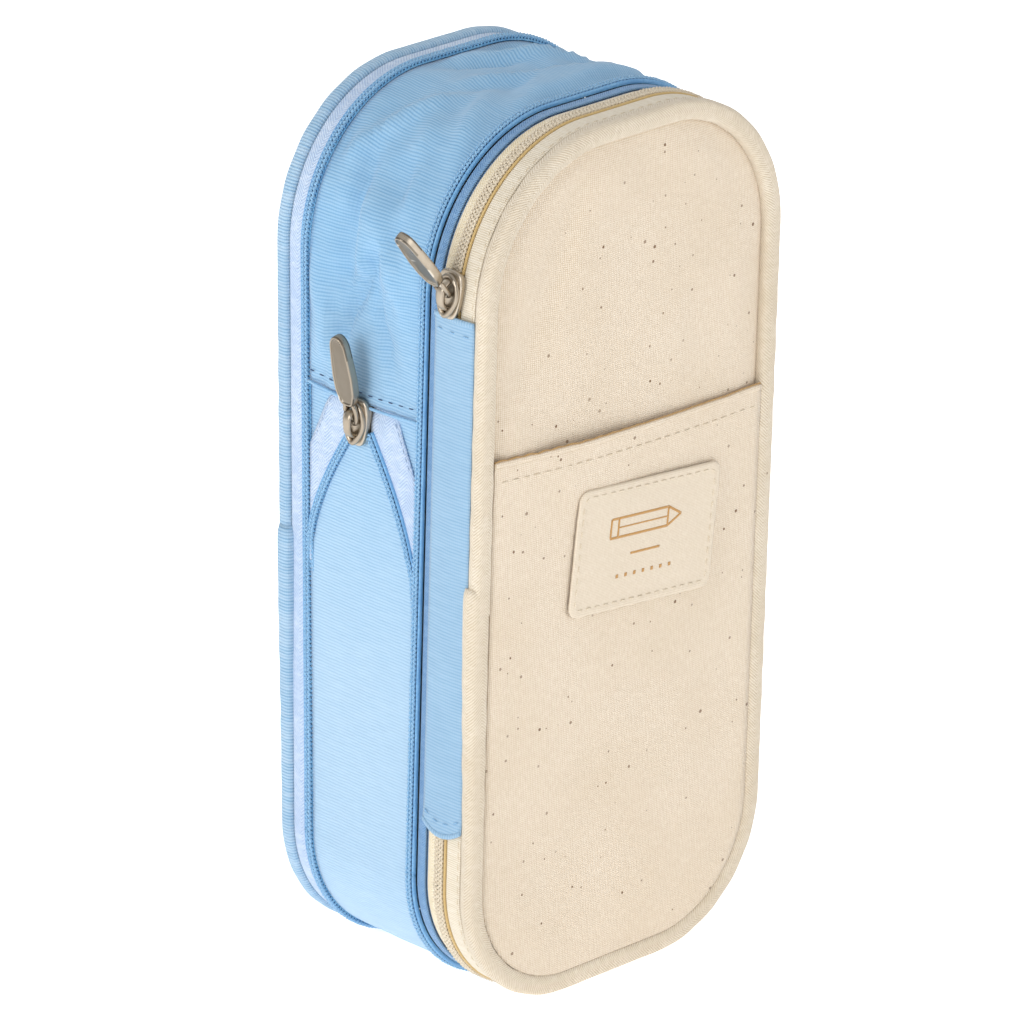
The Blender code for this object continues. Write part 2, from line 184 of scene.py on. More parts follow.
def grid_parts(nu, nv, u=None, v=None, wrap_u=False, wrap_v=False, caps=False):
    """Faces and corner UVs of a grid of nu by nv points. u and v have one more value where they wrap."""
    u = np.zeros(nu + 1) if u is None else u
    v = np.zeros(nv + 1) if v is None else v
    faces, uv = [], []
    for i in range(nu if wrap_u else nu - 1):
        k = (i + 1) % nu
        for j in range(nv if wrap_v else nv - 1):
            m = (j + 1) % nv
            faces.append([i * nv + j, k * nv + j, k * nv + m, i * nv + m])
            uv += [(u[i], v[j]), (u[i + 1], v[j]), (u[i + 1], v[j + 1]), (u[i], v[j + 1])]
    if caps:
        faces.append(list(range(nv)))
        uv += [(u[0], v[j]) for j in range(nv)]
        faces.append([(nu - 1) * nv + j for j in reversed(range(nv))])
        uv += [(u[-1], v[j]) for j in reversed(range(nv))]
    return faces, uv


def cloth_grid(name, x, y, z, flat, material):
    """A sheet of cloth over a grid of points. flat is the same grid on the uncut cloth, for its UVs."""
    faces, _ = grid_parts(*x.shape)
    uv = np.stack(flat, -1).reshape(-1, 2)[np.array(faces).ravel()]
    return new_mesh(name, np.stack([x, y, z], -1), faces, uv, material)


def loft(name, rail, section, material, closed=True, loop=False, caps=True):
    """Sweeps a section of (across, outward) points along a rail. The section may change along it."""
    section = np.asarray(section, float)
    if section.ndim == 2:
        section = np.broadcast_to(section, (len(rail.centre), *section.shape))
    points = (rail.centre[:, None] + section[..., :1] * rail.across[:, None]
              + section[..., 1:] * rail.outward[:, None])
    nu, nv = points.shape[:2]
    u = np.append(rail.distance, LOOP + rail.distance[0]) if loop else rail.distance
    v = running(section[nu // 2], closed)
    faces, uv = grid_parts(nu, nv, u, v, loop, closed, caps and closed and not loop)
    return new_mesh(name, points, faces, uv, material)


def filled_edge(points, pieces):
    """A closed edge with more points on its sides: pieces(length) gives the number of parts of each."""
    made = []
    for p, q in zip(points, points[1:] + points[:1]):
        count = pieces(math.dist(p, q))
        made += [(p[0] + (q[0] - p[0]) * n / count, p[1] + (q[1] - p[1]) * n / count)
                 for n in range(count)]
    return np.array(made)


def flat_section(width, thick):
    """A strip's section: flat, with its two edges rounded, centred across and sitting on its inner face."""
    half, r = width / 2, min(thick / 2, width / 2) * 0.6
    corners = [(half - r, thick - r, 0), (-half + r, thick - r, 90), (-half + r, r, 180), (half - r, r, 270)]
    points = []
    for x, y, start in corners:
        for a in np.radians((start, start + 45, start + 90)):
            points.append((x + r * math.cos(a), y + r * math.sin(a)))
    return filled_edge(points, lambda length: max(1, int(length / (width / 8))))


def oval_section(half_width, half_height, power=2.6, count=20):
    """A superellipse section, squarer as power grows."""
    a = np.linspace(0, 2 * math.pi, count, endpoint=False)
    c, s = np.cos(a), np.sin(a)
    return np.stack([half_width * np.sign(c) * np.abs(c) ** (2 / power),
                     half_height * np.sign(s) * np.abs(s) ** (2 / power)], 1)


def tube(name, centre, radius, material, sides, hint, taper=False):
    """A round wire along points. hint is a direction, or one per point, for its first side."""
    centre = np.asarray(centre, float)
    along = directions(centre)
    hint = np.broadcast_to(hint, centre.shape)
    one = hint - (hint * along).sum(1, keepdims=True) * along
    one /= np.maximum(np.linalg.norm(one, axis=1, keepdims=True), 1e-9)
    two = np.cross(along, one)
    a = np.linspace(0, 2 * math.pi, sides, endpoint=False)
    size = np.full(len(centre), radius)
    if taper:
        t = np.linspace(-1, 1, len(centre))
        size = radius * np.sqrt(np.maximum(1 - t ** 4, 0.03))
    ring = np.cos(a)[None, :, None] * one[:, None] + np.sin(a)[None, :, None] * two[:, None]
    points = centre[:, None] + size[:, None, None] * ring
    v = np.linspace(0, 2 * math.pi * radius, sides + 1)
    faces, uv = grid_parts(len(centre), sides, running(centre), v, False, True, True)
    return new_mesh(name, points, faces, uv, material)


def join(name, pieces):
    """Makes one mesh of several pieces, keeping each one's material."""
    for o in bpy.context.selected_objects:
        o.select_set(False)
    for o in pieces:
        o.select_set(True)
    bpy.context.view_layer.objects.active = pieces[0]
    if len(pieces) > 1:
        bpy.ops.object.join()
    pieces[0].name = name
    pieces[0].data.name = name
    pieces[0].select_set(False)
    return pieces[0]


def solid(obj):
    """Replaces a piece's mesh by what its modifiers make of it."""
    bpy.context.view_layer.update()
    made = obj.evaluated_get(bpy.context.evaluated_depsgraph_get())
    mesh = bpy.data.meshes.new_from_object(made)
    obj.modifiers.clear()
    obj.data = mesh
    return obj


def thicken(obj, thickness, offset=0.0):
    """Gives a sheet its thickness: offset is -1 inward, 0 to both sides, 1 outward."""
    layer = obj.modifiers.new("Thickness", "SOLIDIFY")
    layer.thickness = thickness
    layer.offset = offset
    layer.use_even_offset = True
    return solid(obj)


def smooth(obj):
    """One round of subdivision."""
    layer = obj.modifiers.new("Smooth", "SUBSURF")
    layer.levels = layer.render_levels = 1
    return solid(obj)


def coords(obj, field="co"):
    """A piece's points, or with "normal" the directions it faces there, one row each."""
    values = np.zeros(len(obj.data.vertices) * 3, np.float32)
    obj.data.vertices.foreach_get(field, values)
    return values.reshape(-1, 3).astype(float)


def set_coords(obj, co):
    """Moves a piece's points."""
    obj.data.vertices.foreach_set("co", np.asarray(co, np.float32).ravel())
    obj.data.update()


def lean(obj):
    """Gives a piece built upright the slope of the CAD's back."""
    co = coords(obj)
    share = np.clip((co[:, 1] - GUSSET_FRONT) / (GUSSET_BACK - GUSSET_FRONT), 0, 1)
    co[:, 1] += share * SLOPE * (co[:, 2] - SLOPE_LEVEL)
    set_coords(obj, co)


def waver(points, scale, seed):
    """Smooth noise from -1 to 1 at each point, with features about as large as scale."""
    return np.array([noise.noise(Vector(p) / scale + Vector((seed, 2 * seed, 3 * seed))) for p in points])


def settle(obj, pinned, slack, push, cap, frames=22, stiffness=12.0, bending=0.08):
    """Lets a sheet with more fabric than its sewn edges need fall into puckers: cloth simulation, with
    no point going further than cap from where it started. pinned, slack and push are one value each
    per point: held from 0 to 1, extra length as a share, and a first nudge along the normal."""
    start = coords(obj)
    set_coords(obj, start + coords(obj, "normal") * np.clip(push, -cap, cap)[:, None])
    pins = obj.vertex_groups.new(name="pins")
    room = obj.vertex_groups.new(name="room")
    most = max(float(slack.max()), 1e-6)
    for k in range(len(start)):
        pins.add([k], float(pinned[k]), "REPLACE")
        room.add([k], float(slack[k] / most), "REPLACE")
    cloth = obj.modifiers.new("Cloth", "CLOTH")
    cs = cloth.settings
    cs.quality = 6
    cs.mass = 0.02
    cs.air_damping = 2.0
    cs.tension_stiffness = cs.compression_stiffness = stiffness
    cs.shear_stiffness = stiffness / 2
    cs.bending_stiffness = bending
    cs.vertex_group_mass = "pins"
    cs.pin_stiffness = 5
    cs.vertex_group_shrink = "room"
    cs.shrink_min = 0.0
    cs.shrink_max = -most
    cs.effector_weights.gravity = 0
    cloth.collision_settings.use_collision = False
    cloth.collision_settings.use_self_collision = False
    cloth.point_cache.frame_start = 1
    cloth.point_cache.frame_end = frames
    scene = bpy.context.scene
    for number in range(1, frames + 1):
        scene.frame_set(number)
    solid(obj)
    scene.frame_set(1)
    moved = coords(obj) - start
    far = np.linalg.norm(moved, axis=1, keepdims=True)
    set_coords(obj, start + moved * np.minimum(1, cap / np.maximum(far, 1e-9)))
    obj.vertex_groups.clear()


# ---------------------------------------------------------------- materials
def srgb(r, g, b):
    """Linear colour of an everyday 0 to 255 colour."""
    def linear(c):
        c /= 255
        return c / 12.92 if c <= 0.04045 else ((c + 0.055) / 1.055) ** 2.4
    return linear(r), linear(g), linear(b), 1.0


class Nodes:
    """Short names for making a node material."""

    def __init__(self, name):
        self.material = bpy.data.materials.new(name)
        self.material.use_nodes = True
        self.tree = self.material.node_tree
        self.tree.nodes.clear()
        self.shader = self.add("ShaderNodeBsdfPrincipled")
        out = self.add("ShaderNodeOutputMaterial")
        self.tree.links.new(self.shader.outputs[0], out.inputs[0])
        self.uv = self.add("ShaderNodeUVMap", uv_map="UVMap").outputs[0]
        self.place = self.add("ShaderNodeTexCoord").outputs["Object"]

    def add(self, kind, **settings):
        node = self.tree.nodes.new(kind)
        for key, value in settings.items():
            setattr(node, key, value)
        return node

    def feed(self, socket, value):
        if isinstance(value, bpy.types.NodeSocket):
            self.tree.links.new(value, socket)
        else:
            socket.default_value = value

    def math(self, operation, *values):
        node = self.add("ShaderNodeMath", operation=operation)
        for socket, value in zip(node.inputs, values):
            self.feed(socket, value)
        return node.outputs[0]

    def split(self, vector):
        node = self.add("ShaderNodeSeparateXYZ")
        self.feed(node.inputs[0], vector)
        return node.outputs[0], node.outputs[1]

    def noise(self, vector, scale, detail=2.0, rough=0.5, stretch=None):
        if stretch:
            lay = self.add("ShaderNodeMapping")
            self.feed(lay.inputs[0], vector)
            lay.inputs["Scale"].default_value = stretch
            vector = lay.outputs[0]
        node = self.add("ShaderNodeTexNoise")
        self.feed(node.inputs["Vector"], vector)
        node.inputs["Scale"].default_value = scale
        node.inputs["Detail"].default_value = detail
        node.inputs["Roughness"].default_value = rough
        return node.outputs[0]

    def span(self, value, low, high, to_low=0.0, to_high=1.0):
        node = self.add("ShaderNodeMapRange")
        node.clamp = True
        for socket, item in zip(node.inputs, (value, low, high, to_low, to_high)):
            self.feed(socket, item)
        return node.outputs[0]

    def mix(self, share, one, two):
        node = self.add("ShaderNodeMix", data_type="RGBA")
        self.feed(node.inputs[0], share)
        self.feed(node.inputs[6], one)
        self.feed(node.inputs[7], two)
        return node.outputs[2]

    def bump(self, height, distance, strength=1.0):
        node = self.add("ShaderNodeBump")
        node.inputs["Strength"].default_value = strength
        node.inputs["Distance"].default_value = distance
        self.feed(node.inputs["Height"], height)
        return node.outputs[0]

    def finish(self, colour, rough, normal, **constants):
        self.feed(self.shader.inputs["Base Color"], colour)
        self.feed(self.shader.inputs["Roughness"], rough)
        if normal is not None:
            self.feed(self.shader.inputs["Normal"], normal)
        for key, value in constants.items():
            self.shader.inputs[key.replace("_", " ")].default_value = value
        return self.material


SPECK_SCALE = 290.0
SPECK_SIZES = 0.05, 0.135
SPECK_BROWN = srgb(116, 86, 56)


def cloth_material(name, colour, deep, light, weave, pitch, depth=0.09, specks=0.0, mottle=0.35,
                   fold=4.0, contrast=0.5, painted_low_light=None):
    """Woven cloth. weave is plain, rib or herringbone. In millimetres: pitch is the spacing of the
    warp and weft yarns, depth the relief, fold a herringbone's half width. The last argument is
    (height, lower height, colour, share): painted light from below, a paler tone that grows from the
    first height down to the second."""
    n = Nodes(name)
    colour, deep, light = srgb(*colour), srgb(*deep), srgb(*light)
    warp, weft = pitch[0] * MM, pitch[1] * MM
    u, v = n.split(n.uv)
    drift = n.noise(n.uv, 200.0, 2.0)
    drift = n.math("MULTIPLY", n.math("SUBTRACT", drift, 0.5), 0.45 * warp)
    u = n.math("ADD", u, drift)
    v = n.math("ADD", v, drift)

    def ridge(coordinate, spacing):
        return n.math("ABSOLUTE", n.math("SINE", n.math("MULTIPLY", coordinate, math.pi / spacing)))

    def crossed(ribs, least):
        """Ribs that the other yarns notch, down to a share least of their height."""
        notch = n.math("MULTIPLY", ridge(v, weft), 1 - least)
        return n.math("MULTIPLY", ribs, n.math("ADD", least, notch))

    if weave == "plain":
        relief = n.math("MULTIPLY", *(n.math("POWER", ridge(*yarn), 0.6) for yarn in ((u, warp), (v, weft))))
    elif weave == "rib":
        relief = crossed(ridge(u, warp), 0.75)
    else:
        zig = n.math("PINGPONG", v, fold * MM)
        relief = crossed(ridge(n.math("ADD", u, zig), warp), 0.8)
    streak = (1.0, 0.14, 1.0) if weave == "rib" else (1.0, 0.45, 1.0)
    yarns = n.noise(n.uv, 1 / (1.6 * warp), 3.0, 0.65, stretch=streak)
    patches = n.noise(n.place, 38.0, 3.0, 0.55)
    tone = n.mix(n.span(relief, 0.15, 0.85), deep, colour)
    tone = n.mix(n.math("MULTIPLY", n.span(yarns, 0.42, 0.72), contrast), tone, light)
    tone = n.mix(n.math("MULTIPLY", n.span(patches, 0.35, 0.75), mottle), tone, deep)
    # Painted light from below: the cloth turns paler towards the bottom.
    if painted_low_light:
        height = n.add("ShaderNodeSeparateXYZ")
        n.feed(height.inputs[0], n.place)
        high, low, pale, most = painted_low_light
        share = n.span(height.outputs[2], low * MM, high * MM, most, 0.0)
        tone = n.mix(share, tone, srgb(*pale))
    if specks:
        cells = n.add("ShaderNodeTexVoronoi")
        n.feed(cells.inputs["Vector"], n.uv)
        cells.inputs["Scale"].default_value = SPECK_SCALE
        cells.inputs["Randomness"].default_value = 1.0
        red, green = n.split(cells.outputs["Color"])
        size = n.span(red, 1 - specks, 1.0, *SPECK_SIZES)
        size = n.math("MULTIPLY", size, n.math("GREATER_THAN", red, 1 - specks))
        mark = n.math("LESS_THAN", cells.outputs["Distance"], size)
        mark = n.math("MULTIPLY", mark, n.span(green, 0.0, 1.0, 0.5, 1.0))
        tone = n.mix(mark, tone, SPECK_BROWN)
    height = n.math("ADD", relief, n.math("MULTIPLY", yarns, 0.6))
    normal = n.bump(height, depth * MM)
    rough = n.span(relief, 0.0, 1.0, 0.95, 0.8)
    return n.finish(tone, rough, normal, Sheen_Weight=0.25, Sheen_Roughness=0.5,
                    Specular_IOR_Level=0.25)


def coil_material(name, colour, deep, light):
    """Moulded nylon of a zip's coil, with a soft gloss and the wire's own fine streaks."""
    n = Nodes(name)
    colour, deep, light = srgb(*colour), srgb(*deep), srgb(*light)
    streak = n.noise(n.uv, 1500.0, 2.0, 0.6)
    patch = n.noise(n.place, 120.0, 2.0)
    tone = n.mix(n.span(streak, 0.35, 0.7), colour, light)
    tone = n.mix(n.math("MULTIPLY", n.span(patch, 0.4, 0.7), 0.45), tone, deep)
    rough = n.span(streak, 0.3, 0.7, 0.35, 0.55)
    return n.finish(tone, rough, n.bump(streak, 0.02 * MM, 0.6), Specular_IOR_Level=0.5)


def thread_material(name, colour, deep):
    """Twisted sewing thread."""
    n = Nodes(name)
    colour, deep = srgb(*colour), srgb(*deep)
    u, v = n.split(n.uv)
    twist = n.math("SINE", n.math("MULTIPLY", n.math("ADD", u, v), 2 * math.pi / (0.5 * MM)))
    share = n.span(twist, -1.0, 1.0)
    fuzz = n.noise(n.place, 900.0, 2.0)
    tone = n.mix(n.math("MULTIPLY", share, n.span(fuzz, 0.2, 0.8, 0.5, 1.0)), deep, colour)
    return n.finish(tone, 0.7, n.bump(share, 0.05 * MM), Sheen_Weight=0.3, Specular_IOR_Level=0.3)


def nickel_material(name, shade=1.0):
    """Warm antique nickel, brushed, with painted shade in the hollows and a painted highlight on the sharp
    edges. A shade below 1 makes a darker copy, for painted shade.
    """
    def toned(r, g, b):
        return srgb(r * shade, g * shade, b * shade)
    n = Nodes(name)
    point = n.add("ShaderNodeNewGeometry").outputs["Pointiness"]
    wear = n.noise(n.place, 420.0, 4.0, 0.6)
    smear = n.noise(n.place, 90.0, 3.0, 0.6, stretch=(1.0, 1.0, 0.2))
    tone = n.mix(n.span(smear, 0.3, 0.7), toned(198, 187, 170), toned(166, 152, 133))
    # Painted shade: the hollows turn dark.
    tone = n.mix(n.span(point, 0.40, 0.50, 0.75, 0.0), tone, srgb(72, 60, 50))
    # Painted highlight: the sharp edges turn pale.
    tone = n.mix(n.span(point, 0.52, 0.62, 0.0, 0.7), tone, srgb(236, 228, 214))
    rough = n.span(wear, 0.3, 0.7, 0.26, 0.44)
    return n.finish(tone, rough, n.bump(wear, 0.02 * MM, 0.5), Metallic=1.0)


def foam_material(name, colour, deep):
    """Open foam: pores of two sizes."""
    n = Nodes(name)
    colour, deep = srgb(*colour), srgb(*deep)
    cells = n.add("ShaderNodeTexVoronoi")
    n.feed(cells.inputs["Vector"], n.place)
    cells.inputs["Scale"].default_value = 1400.0
    pores = n.span(cells.outputs["Distance"], 0.1, 0.6)
    big = n.noise(n.place, 300.0, 3.0)
    tone = n.mix(n.math("MULTIPLY", pores, big), colour, deep)
    return n.finish(tone, 0.95, n.bump(pores, 0.2 * MM), Specular_IOR_Level=0.1)


def net_material(name, colour, deep):
    """Knitted net: slanting threads, with square holes left open between them."""
    n = Nodes(name)
    colour, deep = srgb(*colour), srgb(*deep)
    u, v = n.split(n.uv)
    size = 2.2 * MM
    one = n.math("SINE", n.math("MULTIPLY", n.math("ADD", u, v), math.pi / size))
    two = n.math("SINE", n.math("MULTIPLY", n.math("SUBTRACT", u, v), math.pi / size))
    hole = n.math("MINIMUM", n.math("ABSOLUTE", one), n.math("ABSOLUTE", two))
    threads = n.math("LESS_THAN", hole, 0.42)
    fuzz = n.noise(n.uv, 2500.0, 2.0)
    n.feed(n.shader.inputs["Alpha"], threads)
    return n.finish(n.mix(n.span(fuzz, 0.3, 0.7), colour, deep), 0.8, n.bump(hole, 0.15 * MM),
                    Sheen_Weight=0.2)


# blue_canvas is painted paler towards the bottom: painted light from below.
blue_canvas = cloth_material(
    "blue_canvas", (151, 190, 219), (112, 160, 200), (178, 209, 231), "rib", (0.8, 0.6), 0.07,
    mottle=0.2, contrast=0.25, painted_low_light=(180, 75, (204, 220, 232), 0.36))
blue_side_canvas = cloth_material(
    "blue_side_canvas", (150, 182, 207), (126, 164, 196), (168, 198, 220), "rib", (0.8, 0.6), 0.05,
    mottle=0.2, contrast=0.3)
blue_rib = cloth_material(
    "blue_rib", (168, 198, 220), (122, 162, 196), (196, 214, 230), "rib", (0.8, 0.5), 0.12)
blue_tape = cloth_material(
    "blue_tape", (126, 166, 204), (82, 124, 172), (158, 192, 222), "herringbone", (0.7, 0.5), 0.1,
    fold=1.6)
pale_tape = cloth_material(
    "pale_tape", (190, 209, 230), (160, 182, 216), (226, 234, 246), "herringbone", (0.9, 0.6), 0.1,
    fold=2.6)
cream_canvas = cloth_material(
    "cream_canvas", (232, 219, 203), (206, 186, 156), (243, 233, 216), "plain", (0.55, 0.5), 0.08,
    specks=0.6, mottle=0.25, contrast=0.35)
cream_twill = cloth_material(
    "cream_twill", (222, 211, 192), (195, 177, 150), (233, 223, 207), "herringbone", (0.8, 0.5), 0.1,
    specks=0.05)
cream_strip = cloth_material(
    "cream_strip", (228, 219, 202), (202, 187, 160), (238, 231, 218), "rib", (0.55, 0.5), 0.07,
    mottle=0.2)
cream_tape = cloth_material(
    "cream_tape", (238, 228, 206), (212, 192, 152), (246, 239, 223), "herringbone", (0.7, 0.5), 0.08,
    fold=1.5)
label_cotton = cloth_material(
    "label_cotton", (228, 215, 196), (206, 190, 166), (238, 229, 214), "plain", (0.4, 0.4), 0.04,
    mottle=0.15, contrast=0.3)
lining_cloth = cloth_material(
    "lining_cloth", (226, 220, 208), (196, 188, 172), (240, 236, 226), "plain", (0.4, 0.4), 0.05)
blue_coil = coil_material("blue_coil", (92, 152, 196), (50, 112, 168), (140, 192, 224))
blue_fold = coil_material("blue_fold", (104, 162, 210), (74, 134, 190), (134, 184, 222))
cream_fold = coil_material("cream_fold", (240, 228, 198), (220, 198, 152), (246, 238, 218))
cream_coil = coil_material("cream_coil", (230, 212, 172), (196, 164, 104), (246, 234, 204))
blue_thread = thread_material("blue_thread", (172, 210, 236), (110, 164, 208))
pale_thread = thread_material("pale_thread", (214, 228, 244), (170, 194, 224))
dark_thread = thread_material("dark_thread", (64, 96, 138), (34, 58, 96))
cream_thread = thread_material("cream_thread", (244, 236, 220), (208, 190, 160))
gold_thread = thread_material("gold_thread", (226, 202, 148), (196, 162, 100))
# A brown cord for the pocket's mouth: partly its overlocked edge, partly painted shadow above the hem.
mouth_edge_and_shadow_brown = thread_material("mouth_edge_and_shadow_brown", (204, 170, 116), (160, 122, 72))
ochre_print = thread_material("ochre_print", (205, 158, 92), (180, 132, 70))
nickel = nickel_material("nickel")
# A darker copy of the nickel, for painted shade in the pull's sunk field.
nickel_painted_shade = nickel_material("nickel_painted_shade", 0.72)
foam = foam_material("foam", (232, 228, 214), (196, 190, 170))
net = net_material("net", (214, 224, 236), (168, 186, 208))


# ---------------------------------------------------------------- parts made of rails
PITCH = 1.15 * MM
WIRE = 0.34 * MM
TURN_POINTS = 10


def coil(name, rail, half_width, half_height, material, shift, phase):
    """A zip's coil: a wire wound in flat turns along a rail, shift across from it."""
    start, end = rail.distance[0] + phase * PITCH, rail.distance[-1]
    turns = int((end - start) / PITCH)
    tau = np.linspace(0, turns, turns * TURN_POINTS + 1)
    line = rail.at(start + tau * PITCH)
    a = 2 * math.pi * tau
    side = np.sign(np.cos(a)) * np.abs(np.cos(a)) ** 0.8
    centre = (line.centre + (shift + half_width * side)[:, None] * line.across
              + (half_height * np.sin(a))[:, None] * line.outward)
    return tube(name, centre, WIRE, material, 5, line.along)


def cord_line(name, rail, across, lift, radius, material, wobble, phase):
    """A thread lying along a rail, with a bump for each stitch."""
    beat = np.sin(2 * math.pi * (rail.distance / PITCH + phase))
    centre = (rail.centre + (across + 0.4 * wobble * beat)[:, None] * rail.across
              + (lift + wobble * beat)[:, None] * rail.outward)
    return tube(name, centre, radius, material, 6, rail.outward)


def stitches(name, rail, across, lift, length, gap, radius, material):
    """A row of separate stitches along a rail, each dipping into the cloth at both ends."""
    start, end = rail.distance[0], rail.distance[-1]
    count = max(1, int((end - start) / (length + gap)))
    made = []
    for k in range(count):
        first = start + (k + 0.5) * (end - start) / count - length / 2
        line = rail.at(np.linspace(first, first + length, 7))
        t = np.linspace(-1, 1, 7)
        rise = lift - 1.1 * radius * t ** 4
        centre = line.centre + across * line.across + rise[:, None] * line.outward
        made.append(tube(name, centre, radius, material, 5, line.outward, True))
    return join(name, made)


def band_rows(node):
    """The depth range of a CAD node, as its middle and its width."""
    lo, hi = edges(node, 1)
    return (lo + hi) / 2, hi - lo


def inset_of(node):
    """How far inside the case's outline a node's outer face lies."""
    return TOP - edges(node, 2)[1]


FULL = np.linspace(0, LOOP, 420, endpoint=False)


def place(obj, body, slot, *nodes):
    """A piece's body and the CAD nodes it stands for; slot, its finish, is not used. On the back it leans
    with it.
    """
    if body == "back_body":
        lean(obj)
    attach(obj, body)
    if nodes:
        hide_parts(*nodes)
    return obj


def full_band(name, node, material, inset, thick, width_scale, body, slot, s=None):
    """A flat strip in the place of a CAD node, round the whole outline or at distances s."""
    middle, width = band_rows(node)
    rail = round_rail(FULL if s is None else s, middle, inset + thick)
    piece = loft(name, rail, flat_section(width * width_scale, thick), material, loop=s is None)
    return place(piece, body, slot, node)


# ---------------------------------------------------------------- zips round the case
ZIP_START = left_s(179.3 * MM)
ZIP_END = LOOP + left_s(47.2 * MM)
TUCK = 4 * MM
OPEN_PART = steps(ZIP_START - TUCK, ZIP_END + TUCK, 1.4 * MM)


FOLD_WIDTH = 0.36 * MM


def chain_row(name, rail, width, side, coil_mat, seam_mat, fold_mat, core_mat, phase=0.0, reach=0.0):
    """A zip's coil on its tape: the turned wire, two chain stitches over it, and on the side away
    from the other half the smooth fold of the tape. reach is how far the coil stands past its half."""
    half = (width - 2 * FOLD_WIDTH + reach) / 2
    shift = -side * (width / 2 - half + reach)
    parts = [coil("wire", rail, half - 0.3 * MM, 0.55 * MM, coil_mat, shift, phase)]
    fine = rail.at(steps(rail.distance[0], rail.distance[-1], 0.35 * MM))
    for k, off in enumerate((-0.45, 0.5)):
        parts.append(cord_line("seam", fine, shift + side * off * half, 0.70 * MM, 0.36 * MM, seam_mat,
                               0.24 * MM, phase + 0.25 * k))
    parts.append(loft("fold", rail, oval_section(FOLD_WIDTH, 0.6 * MM, 2.2, 10)
                      + np.array([side * (width / 2 - FOLD_WIDTH), 0.1 * MM]), fold_mat))
    parts.append(loft("core", rail, oval_section(width / 2 + reach / 2, 0.3 * MM, 3, 12)
                      + np.array([-side * reach / 2, -0.25 * MM]), core_mat))
    return join(name, parts)


def zip_row(prefix, mats, body, slots, side, tape_scale=1.0, s=None, phase=0.0, reach=0.0):
    """One half of a zip in the place of its CAD nodes. side is +1 where the tape lies behind the coil
    and -1 where it lies in front of it. mats is the tape, coil, stitches and fold."""
    tape_node, teeth_node = prefix + "_tape", prefix + "_teeth"
    tape_mat, coil_mat, seam_mat, fold_mat = mats
    middle, width = band_rows(teeth_node)
    full_band(prefix + "_tape_cloth", tape_node, tape_mat, inset_of(tape_node) + 0.35 * MM, 0.6 * MM,
              tape_scale, body, slots[0], s)
    where = steps(0, LOOP, 1.4 * MM) if s is None else s
    rail = round_rail(where, middle, inset_of(teeth_node) + 0.6 * MM)
    piece = chain_row(prefix + "_coil", rail, width, side, coil_mat, seam_mat, fold_mat, coil_mat, phase,
                      reach)
    place(piece, body, slots[1], teeth_node)


BLUE_SLOTS, CREAM_SLOTS = ("blue_tape", "blue_coil"), ("cream_tape", "cream_coil")
zip_row("back_zip", (pale_tape, blue_coil, blue_thread, blue_fold), "back_body", BLUE_SLOTS, 1, 1.05)
zip_row("front_zip", (blue_tape, blue_coil, blue_thread, blue_fold), "front_frame", BLUE_SLOTS, -1, 0.98)
zip_row("body_zip", (cream_tape, cream_coil, cream_thread, cream_fold), "front_frame", CREAM_SLOTS, 1,
        0.96, reach=0.2 * MM)
zip_row("cover_zip", (cream_tape, cream_coil, cream_thread, gold_thread), "cover", CREAM_SLOTS, -1,
        s=OPEN_PART, phase=0.5, reach=0.2 * MM)

# A narrow band of blue cloth, sewn behind both tapes, joins the cream zip to the expansion zip.
join_low = edges("body_zip_tape", 1)[0] + 0.3 * MM
join_high = edges("front_zip_tape", 1)[1] - 0.3 * MM
join_deep = max(inset_of("body_zip_tape"), inset_of("front_zip_tape")) + 1.2 * MM
join_rail = round_rail(FULL, (join_low + join_high) / 2, join_deep)
join_band = loft("zip_join_band", join_rail, flat_section(join_high - join_low, 0.5 * MM), blue_tape,
                 loop=True)
place(join_band, "front_frame", "blue_tape")

full_band("cover_strip", "cover_gusset", cream_strip, inset_of("cover_gusset"), 0.8 * MM, 1.05,
          "cover", "cream_canvas", OPEN_PART)
strip_y, strip_width = band_rows("cover_gusset")
strip_rail = round_rail(OPEN_PART, strip_y, inset_of("cover_gusset"))
strip_seam = stitches("cover_strip_seam", strip_rail, -0.36 * strip_width, 0.05 * MM, 2.1 * MM, 0.9 * MM,
                      0.16 * MM, cream_thread)
place(strip_seam, "cover", "cream_canvas")


# ---------------------------------------------------------------- bindings
def binding(name, node, material, lap_z, body, slot):
    """A bias binding folded over a panel's edge, its last end folded under and lapped over its first
    at height lap_z."""
    middle, width = band_rows(node)
    depth, rising = 5.1 * MM, 75 * MM
    lap = left_s(lap_z)
    s = steps(lap - 7 * MM, LOOP + lap, 1.5 * MM)
    over = np.clip((s - (LOOP + lap - rising)) / rising, 0, 1)
    over = over * over * (3 - 2 * over)
    grow = 1 + 0.2 * over
    grow[-3:] *= np.array([0.99, 0.96, 0.84])
    wrinkle = np.array([0.10 * math.sin(a / (1.7 * MM)) * math.sin(a / (23 * MM)) for a in s]) * MM
    rail = round_rail(s, middle, depth / 2)
    base = oval_section(width / 2, depth / 2, 3.2, 26)
    section = np.stack([base * g for g in grow])
    section[..., 1] += 0.5 * MM * over[:, None]
    section[..., 0] -= math.copysign(0.5 * MM, middle) * over[:, None]
    section += wrinkle[:, None, None] * np.sign(base)[None] * 0.5
    place(loft(name, rail, section, material), body, slot, node)


binding("cover_edge_binding", "cover_binding", cream_twill, 113 * MM, "cover", "cream_twill")
binding("back_edge_binding", "back_binding", blue_rib, 110 * MM, "back_body", "blue_rib")


# ---------------------------------------------------------------- panels
PANEL_INSET = 5.0 * MM
COLUMNS = 44


def panel_rows(inset):
    """Heights for a panel's rows, close together round the corners."""
    a = np.linspace(0, RIGHT_ANGLE, 15)
    low = BASE + BASE_RADIUS - (BASE_RADIUS - inset) * np.cos(a)
    high = TOP - TOP_RADIUS + (TOP_RADIUS - inset) * np.sin(a)
    return np.concatenate([low, steps(low[-1], high[0], 2.6 * MM)[1:-1], high])


